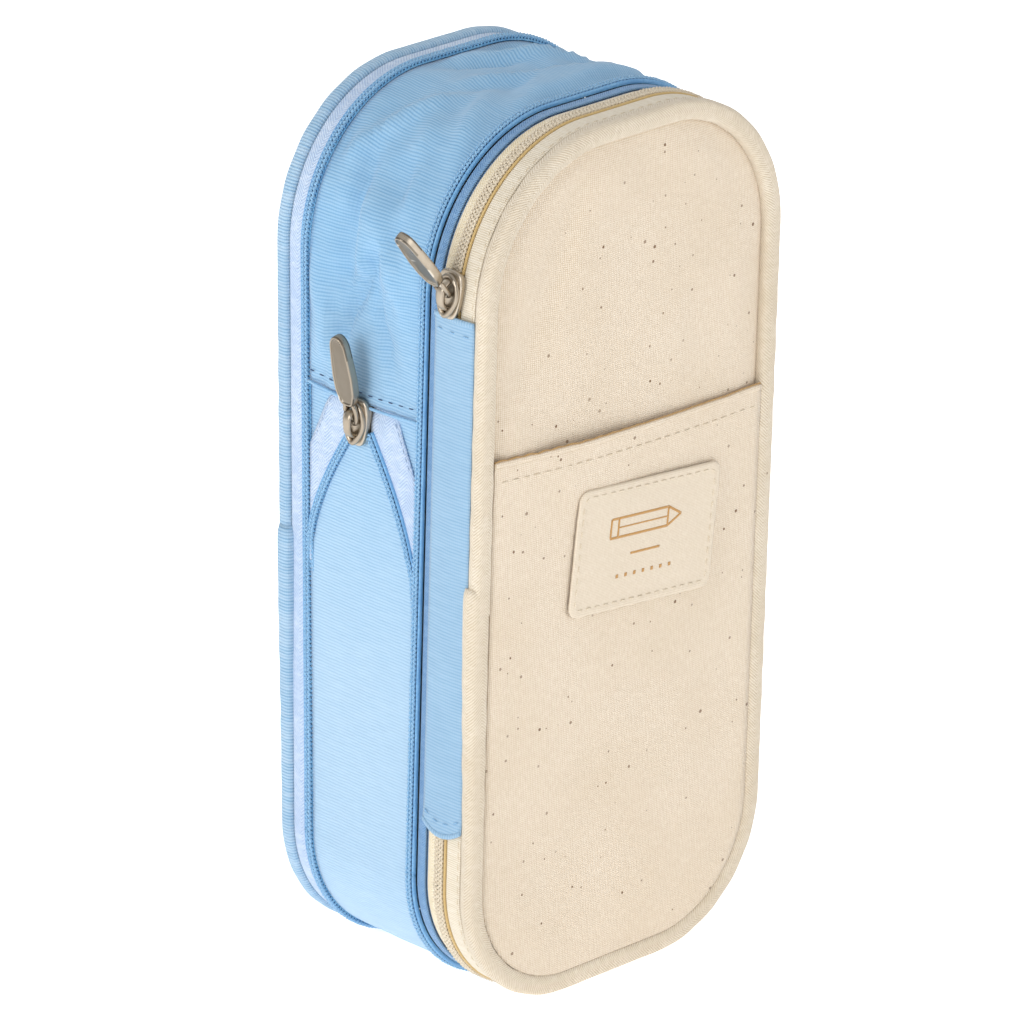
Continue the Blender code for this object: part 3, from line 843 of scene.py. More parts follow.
def half_width(z, inset):
    """Half the panel's width at height z."""
    low_r, high_r = BASE_RADIUS - inset, TOP_RADIUS - inset
    below = np.clip(BASE + BASE_RADIUS - z, 0, low_r)
    above = np.clip(z - (TOP - TOP_RADIUS), 0, high_r)
    low = RIGHT - BASE_RADIUS + np.sqrt(np.maximum(low_r ** 2 - below ** 2, 0))
    high = RIGHT - TOP_RADIUS + np.sqrt(np.maximum(high_r ** 2 - above ** 2, 0))
    return np.minimum(low, high)


def panel_grid(rows, inset):
    """Points x, z of a panel of the case's shape, and how far each is from its edge."""
    t = np.linspace(-1, 1, COLUMNS + 1)
    x = half_width(rows, inset)[:, None] * t[None]
    z = np.repeat(rows[:, None], len(t), 1)
    high_c, low_c = TOP - TOP_RADIUS, BASE + BASE_RADIUS
    over = np.hypot(np.maximum(np.abs(x) - (RIGHT - TOP_RADIUS), 0), np.maximum(z - high_c, 0))
    under = np.hypot(np.maximum(np.abs(x) - (RIGHT - BASE_RADIUS), 0), np.maximum(low_c - z, 0))
    room = np.minimum(RIGHT - inset - np.abs(x), np.minimum(TOP - inset - z, z - BASE - inset))
    room = np.where((z > high_c), np.minimum(room, TOP_RADIUS - inset - over), room)
    room = np.where((z < low_c), np.minimum(room, BASE_RADIUS - inset - under), room)
    return x, z, np.maximum(room, 0)


def crown(room, reach):
    """Rise of a stuffed panel from its sewn edge, from 0 to 1 within reach."""
    t = np.clip(room / reach, 0, 1)
    return np.sin(t * RIGHT_ANGLE) ** 0.8


EDGE_SINK = 1.1 * MM
PANEL_RISE = 0.9 * MM
SEWN = 0.3 * MM  # a point nearer than this to a sheet's edge is held there


def outer_panel(name, node, material, side, body, slot, seed):
    """The outer cloth over a foam sheet. side is -1 for the front and +1 for the back."""
    rows = panel_rows(PANEL_INSET)
    x, z, room = panel_grid(rows, PANEL_INSET)
    face = edges(node, 1)[0 if side < 0 else 1]
    y = face + side * (PANEL_RISE * crown(room, 16 * MM) - EDGE_SINK * (1 - crown(room, 9 * MM)))
    piece = cloth_grid(name, x, y, z, (x, z), material)
    spots = np.stack([x, 0 * x, z], -1).reshape(-1, 3)
    edge = (room.ravel() < SEWN).astype(float)
    dent = waver(spots, 30 * MM, seed) * 0.8 + waver(spots, 13 * MM, seed + 3) * 0.25
    down = np.clip((TOP - spots[:, 2]) / (70 * MM), 0, 1)
    crease = np.exp(-((spots[:, 0] + 30 * MM - 0.45 * (spots[:, 2] - 180 * MM)) / (5 * MM)) ** 2)
    dent += 2.2 * crease * np.sin(math.pi * down)
    inside = np.clip(room.ravel() / (7 * MM), 0, 1)
    settle(piece, edge, np.full(len(spots), 0.008), dent * MM * inside, 1.6 * MM)
    smooth(piece)
    place(piece, body, slot, node)


outer_panel("front_face", "front_panel", cream_canvas, -1, "cover", "cream_canvas", 4.0)
outer_panel("back_face", "back_panel", blue_canvas, 1, "back_body", "blue_canvas", 9.0)

# The patch pocket: the panel's cloth repeated in front of it, with a sagging hemmed mouth.
POCKET_TOP = edges("front_pocket", 2)[1]
POCKET_SAG = 1.5 * MM
pocket_face = edges("front_pocket", 1)[0]


def mouth(x):
    """Height of the pocket's mouth: it dips in the middle and stands higher on the left."""
    t = x / RIGHT
    return POCKET_TOP - POCKET_SAG * (1 + 1.1 * t - 0.3 * t * t)


def gape(x, below):
    """How far the pocket's cloth stands forward at x, below its mouth."""
    t = np.clip((x - LEFT) / (RIGHT - LEFT), 0, 1)
    hang = np.exp(-np.maximum(below, 0) / (16 * MM))
    return 1.5 * MM * np.sin(math.pi * t) ** 0.7 * (1.15 - 0.5 * t) * hang


pocket_rows = panel_rows(PANEL_INSET)
pocket_rows = pocket_rows[pocket_rows < POCKET_TOP - 9 * MM]
extra = np.linspace(pocket_rows[-1], POCKET_TOP, 7)[1:]
pocket_rows = np.concatenate([pocket_rows, extra])
px, pz, proom = panel_grid(pocket_rows, PANEL_INSET)
lift_share = np.clip((pz - extra[0]) / (POCKET_TOP - extra[0]), 0, 1)
pz = pz + lift_share * (mouth(px) - POCKET_TOP)
pocket_room = np.minimum(half_width(pz, PANEL_INSET) - np.abs(px), proom)
swell = crown(pocket_room, 14 * MM)
py = pocket_face + 0.35 * MM - 0.9 * MM * swell - gape(px, POCKET_TOP - pz)
pocket = cloth_grid("pocket_cloth", px, py, pz, (px, pz), cream_canvas)
pocket_spots = np.stack([px, 0 * px, pz], -1).reshape(-1, 3)
pocket_dent = waver(pocket_spots, 34 * MM, 21.0) * 0.4 + waver(pocket_spots, 12 * MM, 5.0) * 0.14
pocket_pins = (pocket_room.ravel() < SEWN).astype(float)
settle(pocket, pocket_pins, np.full(len(pocket_spots), 0.005), pocket_dent * MM
       * np.clip(pocket_room.ravel() / (7 * MM), 0, 1), 1.1 * MM)
thicken(pocket, 0.55 * MM, 1.0)
place(pocket, "cover", "cream_canvas", "front_pocket")

hem_x = np.linspace(-1, 1, 60) * float(half_width(np.array([POCKET_TOP]), PANEL_INSET)[0])


def on_mesh(obj, x, z):
    """The front surface's depth of a cloth piece at points x, z, from its nearest vertices."""
    co = coords(obj)
    found = []
    for a, b in zip(x, z):
        away = np.hypot(co[:, 0] - a, co[:, 2] - b)
        near = np.argsort(away)[:8]
        found.append(co[near, 1].min())
    return np.array(found)


def face_rail(obj, x, z, forward=0.0):
    """A rail over the front of a cloth piece, through points x, z."""
    y = on_mesh(obj, x, z) - forward
    y = np.convolve(np.pad(y, 2, mode="edge"), np.ones(5) / 5, "valid")
    return rail_on(np.stack([x, y, z], 1), (0, -1, 0))


hem_rail = face_rail(pocket, hem_x, mouth(hem_x) - 0.5 * MM, -0.45 * MM)
hem = loft("pocket_hem", hem_rail, oval_section(0.75 * MM, 0.62 * MM, 2.4, 14), cream_canvas)
place(hem, "cover", "cream_canvas")
# A wavy brown cord along the top of the hem, just behind it: partly the mouth's overlocked edge, partly
# painted shadow in the gap above the hem.
edge_x = np.linspace(hem_x[0], hem_x[-1], 240)
frayed = np.sin(edge_x / (0.7 * MM)) * np.clip(-edge_x / RIGHT + 0.4, 0, 1)
edge_z = mouth(edge_x) + 0.35 * MM + 0.16 * MM * frayed
mouth_line_rail = face_rail(pocket, edge_x, edge_z, -0.4 * MM)
mouth_edge_and_shadow = tube("pocket_mouth_edge_and_shadow", mouth_line_rail.centre, 0.26 * MM, mouth_edge_and_shadow_brown, 6, mouth_line_rail.outward)
place(mouth_edge_and_shadow, "cover", "cream_canvas")
seam_x = hem_x[1:-1]
hem_seam = stitches("pocket_hem_seam", face_rail(pocket, seam_x, mouth(seam_x) - 5 * MM), 0, 0.05 * MM,
                    2.2 * MM, 1.1 * MM, 0.14 * MM, cream_thread)
place(hem_seam, "cover", "cream_canvas")

# ---------------------------------------------------------------- the sewn label
LABEL_SIZE = (48 * MM, 31.5 * MM)
LABEL_CENTRE = (5 * MM, 112 * MM)
LABEL_TILT = math.radians(-5)


def label_place(a, b):
    """Where a point of the flat label comes on the pocket."""
    c, s = math.cos(LABEL_TILT), math.sin(LABEL_TILT)
    return LABEL_CENTRE[0] + a * c - b * s, LABEL_CENTRE[1] + a * s + b * c


def rounded_box(width, height, radius, per_corner=6, per_side=12):
    """Points round a rounded rectangle, anticlockwise."""
    points = []
    corners = [(1, 1, 0), (-1, 1, 90), (-1, -1, 180), (1, -1, 270)]
    for sx, sy, start in corners:
        cx, cy = sx * (width / 2 - radius), sy * (height / 2 - radius)
        for k in range(per_corner + 1):
            a = math.radians(start + 90 * k / per_corner)
            points.append((cx + radius * math.cos(a), cy + radius * math.sin(a)))
    return filled_edge(points, lambda length: per_side if length > 3 * radius else 1)


ring = rounded_box(*LABEL_SIZE, 2.6 * MM)
scales = np.array([1.0, 0.985, 0.94, 0.88, 0.75, 0.6, 0.45, 0.3, 0.15, 0.02])
flat = ring[None] * scales[:, None, None]
lx, lz = label_place(flat[..., 0], flat[..., 1])
ly = on_mesh(pocket, lx.ravel(), lz.ravel()).reshape(lx.shape)
ly = ly * 0.35 + np.median(ly) * 0.65
rise = np.array([0.35, 0.55, 0.48, 0.40, 0.5, 0.55, 0.58, 0.6, 0.6, 0.6])[:, None] * MM
points = np.stack([lx, ly - rise, lz], -1)
faces, _ = grid_parts(len(scales), len(ring), wrap_v=True)
faces.append([(len(scales) - 1) * len(ring) + j for j in reversed(range(len(ring)))])
corner_uv = [tuple(flat.reshape(-1, 2)[k]) for face in faces for k in face]
label = new_mesh("label_patch", points, faces, corner_uv, label_cotton)
thicken(label, 0.45 * MM, -1.0)
place(label, "cover", "label_cotton", "pocket_label")


def label_rail(a, b, forward=0.0):
    """A rail over the label through its own flat points."""
    x, z = label_place(np.asarray(a), np.asarray(b))
    return face_rail(label, x, z, forward)


border = rounded_box(LABEL_SIZE[0] - 3.2 * MM, LABEL_SIZE[1] - 3.2 * MM, 1.8 * MM, 6, 14)
border = np.concatenate([border, border[:1]])
label_seam = stitches("label_seam", label_rail(border[:, 0], border[:, 1]), 0, 0.02 * MM, 1.9 * MM,
                      1.0 * MM, 0.17 * MM, cream_thread)
place(label_seam, "cover", "label_cotton")


def print_line(points, radius=0.32 * MM):
    """A printed stroke on the label: a low flattened tube."""
    line = np.array(points, float) * MM
    far = running(line)
    t = np.linspace(0, far[-1], max(6, int(far[-1] / (0.6 * MM))))
    rail = label_rail(np.interp(t, far, line[:, 0]), np.interp(t, far, line[:, 1]), 0.02 * MM)
    return loft("stroke", rail, oval_section(radius, 0.07 * MM, 2.2, 8), ochre_print)


# A plain pencil drawn in outline, with a short rule and a row of dots under it.
strokes = [
    print_line([(-10, 2.4), (7, 2.4)]), print_line([(-10, 7.2), (7, 7.2)]),
    print_line([(7, 2.4), (11.5, 4.8)]), print_line([(7, 7.2), (11.5, 4.8)]),
    print_line([(7, 2.4), (7, 7.2)]), print_line([(-10, 2.4), (-10, 7.2)]),
    print_line([(-12.5, 2.4), (-10, 2.4)]), print_line([(-12.5, 7.2), (-10, 7.2)]),
    print_line([(-12.5, 2.4), (-12.5, 7.2)]), print_line([(-10, 4.8), (7, 4.8)], 0.2 * MM),
    print_line([(-5, -2.4), (5, -2.4)], 0.3 * MM)]
for k in range(7):
    strokes.append(print_line([(-9.4 + 3 * k, -7.6), (-8.6 + 3 * k, -7.6)], 0.5 * MM))
label_print = place(join("label_print", strokes), "cover", "label_cotton")

# ---------------------------------------------------------------- the blue side panel (hinge)
hinge_lo, hinge_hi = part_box("hinge_panel")
HINGE_LOW, HINGE_HIGH = hinge_lo.z, hinge_hi.z
SCALLOP = 2.4 * MM
hinge_s = steps(left_s(HINGE_LOW), left_s(HINGE_HIGH), 1.6 * MM)
hinge_v = np.linspace(hinge_lo.y - 0.9 * MM, hinge_hi.y + 0.3 * MM, 13)


def spine_bow(w):
    """How far the side panel stands out at a share w of its width."""
    return 0.55 * MM * np.sin(math.pi * w) ** 0.8


hinge_t = ((hinge_s - hinge_s[0]) / (hinge_s[-1] - hinge_s[0]))[:, None]
hinge_w = ((hinge_v - hinge_v[0]) / (hinge_v[-1] - hinge_v[0]))[None]
hinge_z = (hinge_s[:, None] + BASE_RADIUS
           + SCALLOP * (2 * hinge_w - 1) ** 2 * np.maximum(0, 1 - hinge_t * 9))
hinge_ends = 0.35 * MM * (np.exp(-hinge_t * 60) + np.exp(-(1 - hinge_t) * 60))
hinge_y = np.broadcast_to(hinge_v, hinge_z.shape)
spine = cloth_grid("side_panel", LEFT + 0.35 * MM - spine_bow(hinge_w) - hinge_ends, hinge_y, hinge_z,
                   (hinge_z, hinge_y), blue_side_canvas)
spine_rest = coords(spine)
w = (spine_rest[:, 1] - hinge_v[0]) / (hinge_v[-1] - hinge_v[0])
spine_pins = ((w < 0.03) | (w > 0.97)).astype(float)
spine_push = waver(spine_rest, 16 * MM, 7.0) * 0.35 * MM * np.sin(math.pi * np.clip(w, 0, 1))
settle(spine, spine_pins, np.full(len(w), 0.012), -spine_push, 0.8 * MM)
thicken(spine, 0.7 * MM)
hem_rows = []
for z, edge_sign, scallop in ((HINGE_LOW, 1, SCALLOP), (HINGE_HIGH, -1, 0)):
    line = np.linspace(hinge_v[0], hinge_v[-1], 24)
    part = (line - line[0]) / (line[-1] - line[0])
    curve = scallop * (2 * part - 1) ** 2
    centre = np.stack([LEFT - 0.1 * MM - spine_bow(part), line, z + curve + edge_sign * 0.4 * MM], 1)
    rail = Rail(centre, (0, 0, 1), (-1, 0, 0))
    hem_rows.append(loft("side_hem", rail, oval_section(0.7 * MM, 0.45 * MM, 2.2, 10), blue_side_canvas))
    seam = Rail(centre + np.array([-0.25 * MM, 0, edge_sign * 3.2 * MM]), rail.across, rail.outward,
                rail.distance)
    hem_rows.append(stitches("side_seam", seam, 0, 0.02 * MM, 1.7 * MM, 1.5 * MM, 0.17 * MM,
                             blue_thread))
spine_trim = join("side_panel_hems", hem_rows)
for piece in (spine, spine_trim):
    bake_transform(piece)
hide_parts("hinge_panel")

# ---------------------------------------------------------------- the expansion gusset
GUSSET_MIDDLE = (GUSSET_FRONT + GUSSET_BACK) / 2
HEM_Z = 149 * MM
LEG_END_Z = 101 * MM
V_TOP_Z = 142 * MM
GUSSET_HALF = (GUSSET_BACK - GUSSET_FRONT) / 2 + 0.6 * MM
GUSSET_ROWS = 25
FOLDS = 24
V_GAP = 1.2 * MM  # from the V's edge to the middle of its coil
gusset_s = steps(left_s(HEM_Z), LOOP + left_s(V_TOP_Z), 1.6 * MM)


def leg_offset(z):
    """How far a leg's inner edge stands from the middle at height z."""
    t = np.clip((V_TOP_Z - z) / (V_TOP_Z - LEG_END_Z), 0, 1)
    return 1.6 * MM + (GUSSET_HALF - 2.2 * MM) * np.sin(t * RIGHT_ANGLE)


def gusset_grid(name, s, v, inset, material):
    """A grid of cloth on the case's side, its ribs running from front to back."""
    point, normal = outline(s)
    v = np.asarray(v)
    depth = np.broadcast_to(inset, (len(s), v.shape[-1]))
    x = point[:, :1] - depth * normal[:, :1]
    z = point[:, 1:] - depth * normal[:, 1:]
    y = np.broadcast_to(v, x.shape)
    return cloth_grid(name, x, y, z, (np.broadcast_to(np.asarray(s)[:, None], x.shape), y), material)


# Along the gusset: where it lies, in millimetres inside the outline, at its edges and its middle.
lie_s = [gusset_s[0], LEG_ENDS[0], LEG_ENDS[1], LEG_ENDS[3], LEG_ENDS[4], LOOP, LOOP + left_s(LEG_END_Z),
         gusset_s[-1]]
edge_lie = np.interp(gusset_s, lie_s, [0.9, 1.2, 1.5, 1.5, 1.3, 1.0, 0.8, 0.7])[:, None] * MM
middle_lie = np.interp(gusset_s, lie_s, [0.4, 0.9, 2.1, 2.3, 1.5, 0.6, 0.2, 0.3])[:, None] * MM
gusset_t = np.linspace(-1, 1, GUSSET_ROWS)
tongue_z = gusset_s - LOOP + BASE_RADIUS
gusset_half = np.where(tongue_z > LEG_END_Z, np.minimum(leg_offset(tongue_z) + 0.8 * MM, GUSSET_HALF),
                       GUSSET_HALF)
sink = edge_lie + (middle_lie - edge_lie) * (1 - gusset_t ** 2)
gusset = gusset_grid("gusset_cloth", gusset_s, GUSSET_MIDDLE + gusset_half[:, None] * gusset_t, sink,
                     blue_canvas)
part = np.tile((gusset_t + 1) / 2, len(gusset_s))
along_s = np.repeat(gusset_s, GUSSET_ROWS)
in_upper = np.clip(1.4 - np.abs(along_s - 190 * MM) / (95 * MM), 0.1, 1)
folds = np.random.default_rng(11)
ruck = 0.35 * waver(coords(gusset), 12 * MM, 3.0) + 0.07 * waver(coords(gusset), 5 * MM, 8.0)
for k in range(FOLDS):
    start, length = folds.uniform(120, 270) * MM, folds.uniform(9, 24) * MM
    spot, slant = folds.uniform(0.12, 0.88), folds.uniform(-0.55, 0.55)
    thin, high = folds.uniform(2.1, 3.8) * MM, folds.uniform(0.5, 1.2)
    off = (part - spot) * 2 * GUSSET_HALF - slant * (along_s - start)
    ridge = np.exp(-np.abs(off / thin) ** 1.5 - ((along_s - start) / length) ** 2)
    ruck += high * ridge * (1 if k % 3 else -1)
under_tab = (along_s < left_s(178 * MM)) & (np.abs(part - 0.5) < 0.28)
ruck = np.where(under_tab, np.minimum(ruck, 0), ruck) * np.sin(math.pi * part) ** 0.45
settle(gusset, ((part < 0.02) | (part > 0.98)).astype(float), 0.08 * in_upper,
       ruck * in_upper * 5.2 * MM, 2.6 * MM, frames=12, stiffness=5.0, bending=0.01)
thicken(gusset, 0.6 * MM)

# ---------------------------------------------------------------- the V: tapes, coils, hem, corners
def side_rail(z, y, inset):
    """A rail up the left side through points z, y."""
    return rail_on(np.stack([np.broadcast_to(LEFT + inset, len(z)), y, z], 1), (-1, 0, 0))


def tape_edge(z):
    """How far a tape's outer edge stands from the middle at height z."""
    return 11 * MM + 0.48 * (HEM_Z - z)


leg_z = np.linspace(LEG_END_Z, V_TOP_Z, 60)
LEG_LIMIT = (GUSSET_BACK - GUSSET_FRONT) / 2 + 0.4 * MM
on_gusset = [(gusset, "blue_canvas", "expansion_gusset")]
for sign, name in ((-1, "front"), (1, "back")):
    leg_y = np.minimum(leg_offset(leg_z) + V_GAP, LEG_LIMIT)
    tuck = 0.2 * MM + 1.3 * MM * np.clip((115 * MM - leg_z) / (14 * MM), 0, 1)
    rail = side_rail(leg_z, GUSSET_MIDDLE + sign * leg_y, tuck)
    chain = chain_row("v_coil_" + name, rail, 2.4 * MM, sign, blue_coil, blue_thread, blue_fold,
                      blue_tape)
    tape_z = np.linspace(104 * MM, HEM_Z + 3 * MM, 40)
    outer = np.minimum(tape_edge(tape_z), GUSSET_HALF - 0.3 * MM)
    inner = np.minimum(leg_offset(tape_z) + V_GAP, outer - 0.2 * MM)
    w = np.linspace(0, 1, 9)
    under = 1.5 * MM * np.clip((tape_z - HEM_Z + 5 * MM) / (5 * MM), 0, 1) ** 2
    across_y = GUSSET_MIDDLE + sign * (inner[:, None] + (outer - inner)[:, None] * w[None])
    tape = gusset_grid("v_cloth_" + name, tape_z - BASE_RADIUS, across_y,
                       0.55 * MM - 0.25 * MM * np.sin(math.pi * w) + under[:, None], pale_tape)
    thicken(tape, 0.45 * MM)
    open_z = tape_z[(outer < GUSSET_HALF - 1 * MM) & (tape_z < HEM_Z - 1.5 * MM)]
    edge_rail = side_rail(open_z, GUSSET_MIDDLE + sign * (tape_edge(open_z) - 0.9 * MM), 0.1 * MM)
    tape_seam = stitches("v_seam_" + name, edge_rail, 0, 0.0, 1.3 * MM, 0.7 * MM, 0.17 * MM, pale_thread)
    corner_z = np.linspace(122 * MM, HEM_Z + 1 * MM, 14)
    corner_y = GUSSET_MIDDLE + sign * np.linspace(10 * MM, GUSSET_HALF, 8)
    corner = gusset_grid("gusset_corner_" + name, corner_z - BASE_RADIUS, corner_y, 1.2 * MM,
                         blue_canvas)
    thicken(corner, 0.4 * MM)
    on_gusset += [(chain, "blue_coil", "v_teeth_" + name), (tape, "blue_tape", "v_tape_" + name),
                  (tape_seam, "blue_tape"), (corner, "blue_canvas")]

hem_y = np.linspace(GUSSET_FRONT - 0.4 * MM, GUSSET_BACK + 0.4 * MM, 40)
hem_dip = np.sin(math.pi * np.linspace(0, 1, len(hem_y)))
hem_centre = np.stack([LEFT - 0.15 * MM - 0.4 * MM * hem_dip, hem_y,
                       HEM_Z + 0.3 * MM - 0.8 * MM * hem_dip], 1)
hem_line = Rail(hem_centre, (0, 0, 1), (-1, 0, 0))
gusset_hem = loft("gusset_hem", hem_line, oval_section(0.36 * MM, 0.36 * MM, 2.3, 12), blue_thread)
hem_stitch_line = Rail(hem_centre + np.array([-0.15 * MM, 0, 3.2 * MM]), hem_line.across, hem_line.outward,
                       hem_line.distance)
hem_stitches = stitches("gusset_hem_seam", hem_stitch_line, 0, 0.02 * MM, 1.5 * MM, 1.7 * MM,
                        0.18 * MM, dark_thread)
on_gusset += [(gusset_hem, "blue_canvas"), (hem_stitches, "blue_canvas")]
for piece, slot, *nodes in on_gusset:
    place(piece, "back_body", slot, *nodes)
    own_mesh(piece)

# ---------------------------------------------------------------- inside: linings, foam, net, end tab
NET_INSET = 5.7 * MM
net_top = edges("mesh_pocket", 2)[1]
net_rows = panel_rows(NET_INSET)
net_rows = np.concatenate([net_rows[net_rows < net_top - 3 * MM], [net_top]])
nx, nz, net_room = panel_grid(net_rows, NET_INSET)
net_room = np.minimum(half_width(nz, NET_INSET) - np.abs(nx), net_room)
ny = edges("mesh_pocket", 1)[0] + 0.2 * MM + 0.9 * MM * crown(net_room, 18 * MM)
net_pocket = cloth_grid("net_pocket", nx, ny, nz, (nx, nz), net)
place(net_pocket, "cover", "mesh", "mesh_pocket")
tab_lo, tab_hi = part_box("zip_end_tab")
tab_z = np.linspace(tab_lo.z, tab_hi.z, 14)
tab_rail = side_rail(tab_z, np.full(14, (tab_lo.y + tab_hi.y) / 2), tab_hi.x - LEFT)
tab = loft("zip_end_cloth", tab_rail, flat_section(tab_hi.y - tab_lo.y, 0.6 * MM), pale_tape)
place(tab, "zip_apex", "blue_tape", "zip_end_tab")

for node, finish in (("cover_lining", lining_cloth), ("back_lining", lining_cloth),
                     ("front_foam", foam), ("back_foam", foam)):
    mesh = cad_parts[node].data
    layer = mesh.uv_layers[0] if mesh.uv_layers else mesh.uv_layers.new()
    layer.name = "UVMap"
    spots = np.array([mesh.vertices[loop.vertex_index].co[:] for loop in mesh.loops])
    mesh.uv_layers["UVMap"].data.foreach_set("uv", spots[:, [0, 2]].astype(np.float32).ravel())
    mesh.materials.clear()
    mesh.materials.append(finish)


# ---------------------------------------------------------------- sliders and pull tabs
SLIDER_LENGTH, SLIDER_NOSE, SLIDER_TAIL = 12 * MM, 8.6 * MM, 6 * MM
PLATE = 1.4 * MM
CROWN_TOP, BRIDGE = 4.8 * MM, 0.8 * MM
PULL_LENGTH, PULL_WIDTH, PULL_NECK, PULL_NECK_START = 24 * MM, 6.6 * MM, 4.2 * MM, 5 * MM
PULL_THICK = 2.3 * MM
EYE_HALF, EYE_WIRE = 1.75 * MM, 0.62 * MM


def layered(name, edge, levels, material):
    """A cast plate: the same closed edge repeated at levels of (height, scale in x, scale in y),
    closed at both ends. Local X is across, Y out of the fabric, Z the way of travel."""
    edge = np.asarray(edge)
    middle = (edge.min(0) + edge.max(0)) / 2
    rings = []
    for height, sx, sy in levels:
        ring_points = middle + (edge - middle) * (sx, sy)
        rings.append(np.stack([ring_points[:, 0], np.full(len(edge), height), ring_points[:, 1]], 1))
    points = np.stack(rings)
    nu, count = points.shape[:2]
    u = np.arange(nu + 1) * MM
    faces, uv = grid_parts(nu, count, u, running(edge, True), False, True, True)
    return new_mesh(name, points, faces, uv, material)


def slider_edge(scale):
    """A slider seen from outside: broad rounded nose at the top, narrower tail."""
    half = SLIDER_LENGTH / 2
    points = []
    for k in range(40):
        a = 2 * math.pi * k / 40
        c, s = math.cos(a), math.sin(a)
        side = math.copysign(abs(c) ** 0.55, c)
        up = math.copysign(abs(s) ** 0.75, s)
        width = (SLIDER_TAIL + (SLIDER_NOSE - SLIDER_TAIL) * (up + 1) / 2) / 2
        points.append((side * width * scale, up * half * scale))
    return points


def drop_edge(width, low, high, count):
    """A drop shape: round at the top, drawn in towards the tail."""
    points = []
    for k in range(count):
        a = 2 * math.pi * k / count
        c, s = math.cos(a), math.sin(a)
        narrow = 1 - 0.38 * max(0, -s) ** 1.5
        points.append((width * c * narrow, (low + high) / 2 + (high - low) / 2 * s))
    return points


def make_slider(name):
    """A zip's slider: its outer plate with a raised rim, the bridge for the pull, the guide inside."""
    plate = layered(name, slider_edge(1.0), [
        (0.0, 0.9, 0.94), (0.12 * MM, 0.98, 0.98), (0.5 * MM, 1, 1), (PLATE - 0.35 * MM, 1, 1),
        (PLATE - 0.08 * MM, 0.96, 0.975), (PLATE, 0.88, 0.92)], nickel)
    edge = np.array(drop_edge(3.0 * MM, -5.0 * MM, 4.6 * MM, 36))
    edge = np.concatenate([edge, edge[:2]])
    line = np.stack([edge[:, 0], np.full(len(edge), PLATE + 0.25 * MM), edge[:, 1]], 1)
    line[:, 1] += 0.55 * MM * np.clip(-line[:, 2] / (5 * MM), 0, 1)
    rim = tube(name + "_rim", line, 0.72 * MM, nickel, 10, (0, 1, 0))
    t = np.linspace(-1, 1, 26)
    foot = PLATE * 0.6
    height = foot + (CROWN_TOP - BRIDGE - foot) * (1 - np.abs(t) ** 3.2)
    arch = np.stack([0 * t, height, 3.7 * MM * np.sign(t) * np.abs(t) ** 0.8], 1)
    bridge_rail = Rail(arch, (1, 0, 0), np.cross(directions(arch), (1, 0, 0)))
    bridge = loft(name + "_bridge", bridge_rail, oval_section(1.15 * MM, 0.62 * MM, 2.6, 14), nickel)
    guide = layered(name + "_guide", slider_edge(0.93), [
        (-1.9 * MM, 0.82, 0.86), (-1.75 * MM, 0.9, 0.93), (-0.15 * MM, 0.9, 0.93), (0.0, 0.8, 0.9)],
        nickel)
    return join(name, [plate, rim, bridge, guide])


def pull_edge():
    """The tab's outline from its neck to its round end: widest a third of the way up."""
    half, neck, end = PULL_WIDTH / 2, PULL_NECK / 2, 20.5 * MM
    z = [PULL_NECK_START, PULL_NECK_START + 0.7 * MM, 8.5 * MM, 12.5 * MM, 17 * MM, end]
    x = [neck * 0.72, neck, half * 0.93, half, half * 0.9, half * 0.78]
    right = list(zip(x, z))
    for k in range(1, 8):
        a = RIGHT_ANGLE * k / 8
        right.append((half * 0.78 * math.cos(a), end + (PULL_LENGTH - end) * math.sin(a)))
    full = np.array(right + [(0.0, PULL_LENGTH)] + [(-a, b) for a, b in reversed(right)])
    far = running(full)
    t = np.linspace(0, far[-1], 56)
    return np.stack([np.interp(t, far, full[:, 0]), np.interp(t, far, full[:, 1])], 1)


def make_pull(name):
    """A tab with a raised rim round a sunk plain field on both faces, and a wire eye at its foot."""
    half = PULL_THICK / 2
    levels = [
        (half - 0.45 * MM, 0.02, 0.02), (half - 0.45 * MM, 0.72, 0.90), (half - 0.40 * MM, 0.78, 0.92),
        (half - 0.04 * MM, 0.83, 0.94), (half, 0.90, 0.965), (half - 0.08 * MM, 0.96, 0.985),
        (half - 0.35 * MM, 1, 1)]
    tab = layered(name, pull_edge(), levels + [(-h, a, b) for h, a, b in reversed(levels)], nickel)
    # The sunk field takes the darker nickel: painted shade in the hollow.
    tab.data.materials.append(nickel_painted_shade)
    for face in tab.data.polygons:
        corners = [tab.data.vertices[k].co for k in face.vertices]
        sunk = (0.3 * half < abs(face.center.y) < half - 0.2 * MM
                and all(abs(co.y) < half - 0.02 * MM for co in corners))
        face.material_index = int(sunk and all(abs(co.x) < 0.87 * PULL_WIDTH / 2 for co in corners))
    a = np.linspace(0, 2 * math.pi, 30)
    mid = (PULL_NECK_START + 0.4 * MM) / 2
    eye = np.stack([EYE_HALF * np.sign(np.cos(a)) * np.abs(np.cos(a)) ** 0.6, 0 * a,
                    mid + (mid + 0.1 * MM) * np.sin(a)], 1)
    ring_wire = tube(name + "_eye", eye, EYE_WIRE, nickel, 10, (0, 1, 0))
    return join(name, [tab, ring_wire])


def slider_frame(origin, along):
    """Turns local X across, Y out of the fabric, Z along the travel into the case's frame."""
    along = Vector(along).normalized()
    across = Vector((0, 1, 0))
    turn = Matrix((across, along.cross(across).normalized(), along)).transposed().to_4x4()
    return Matrix.Translation(origin) @ turn


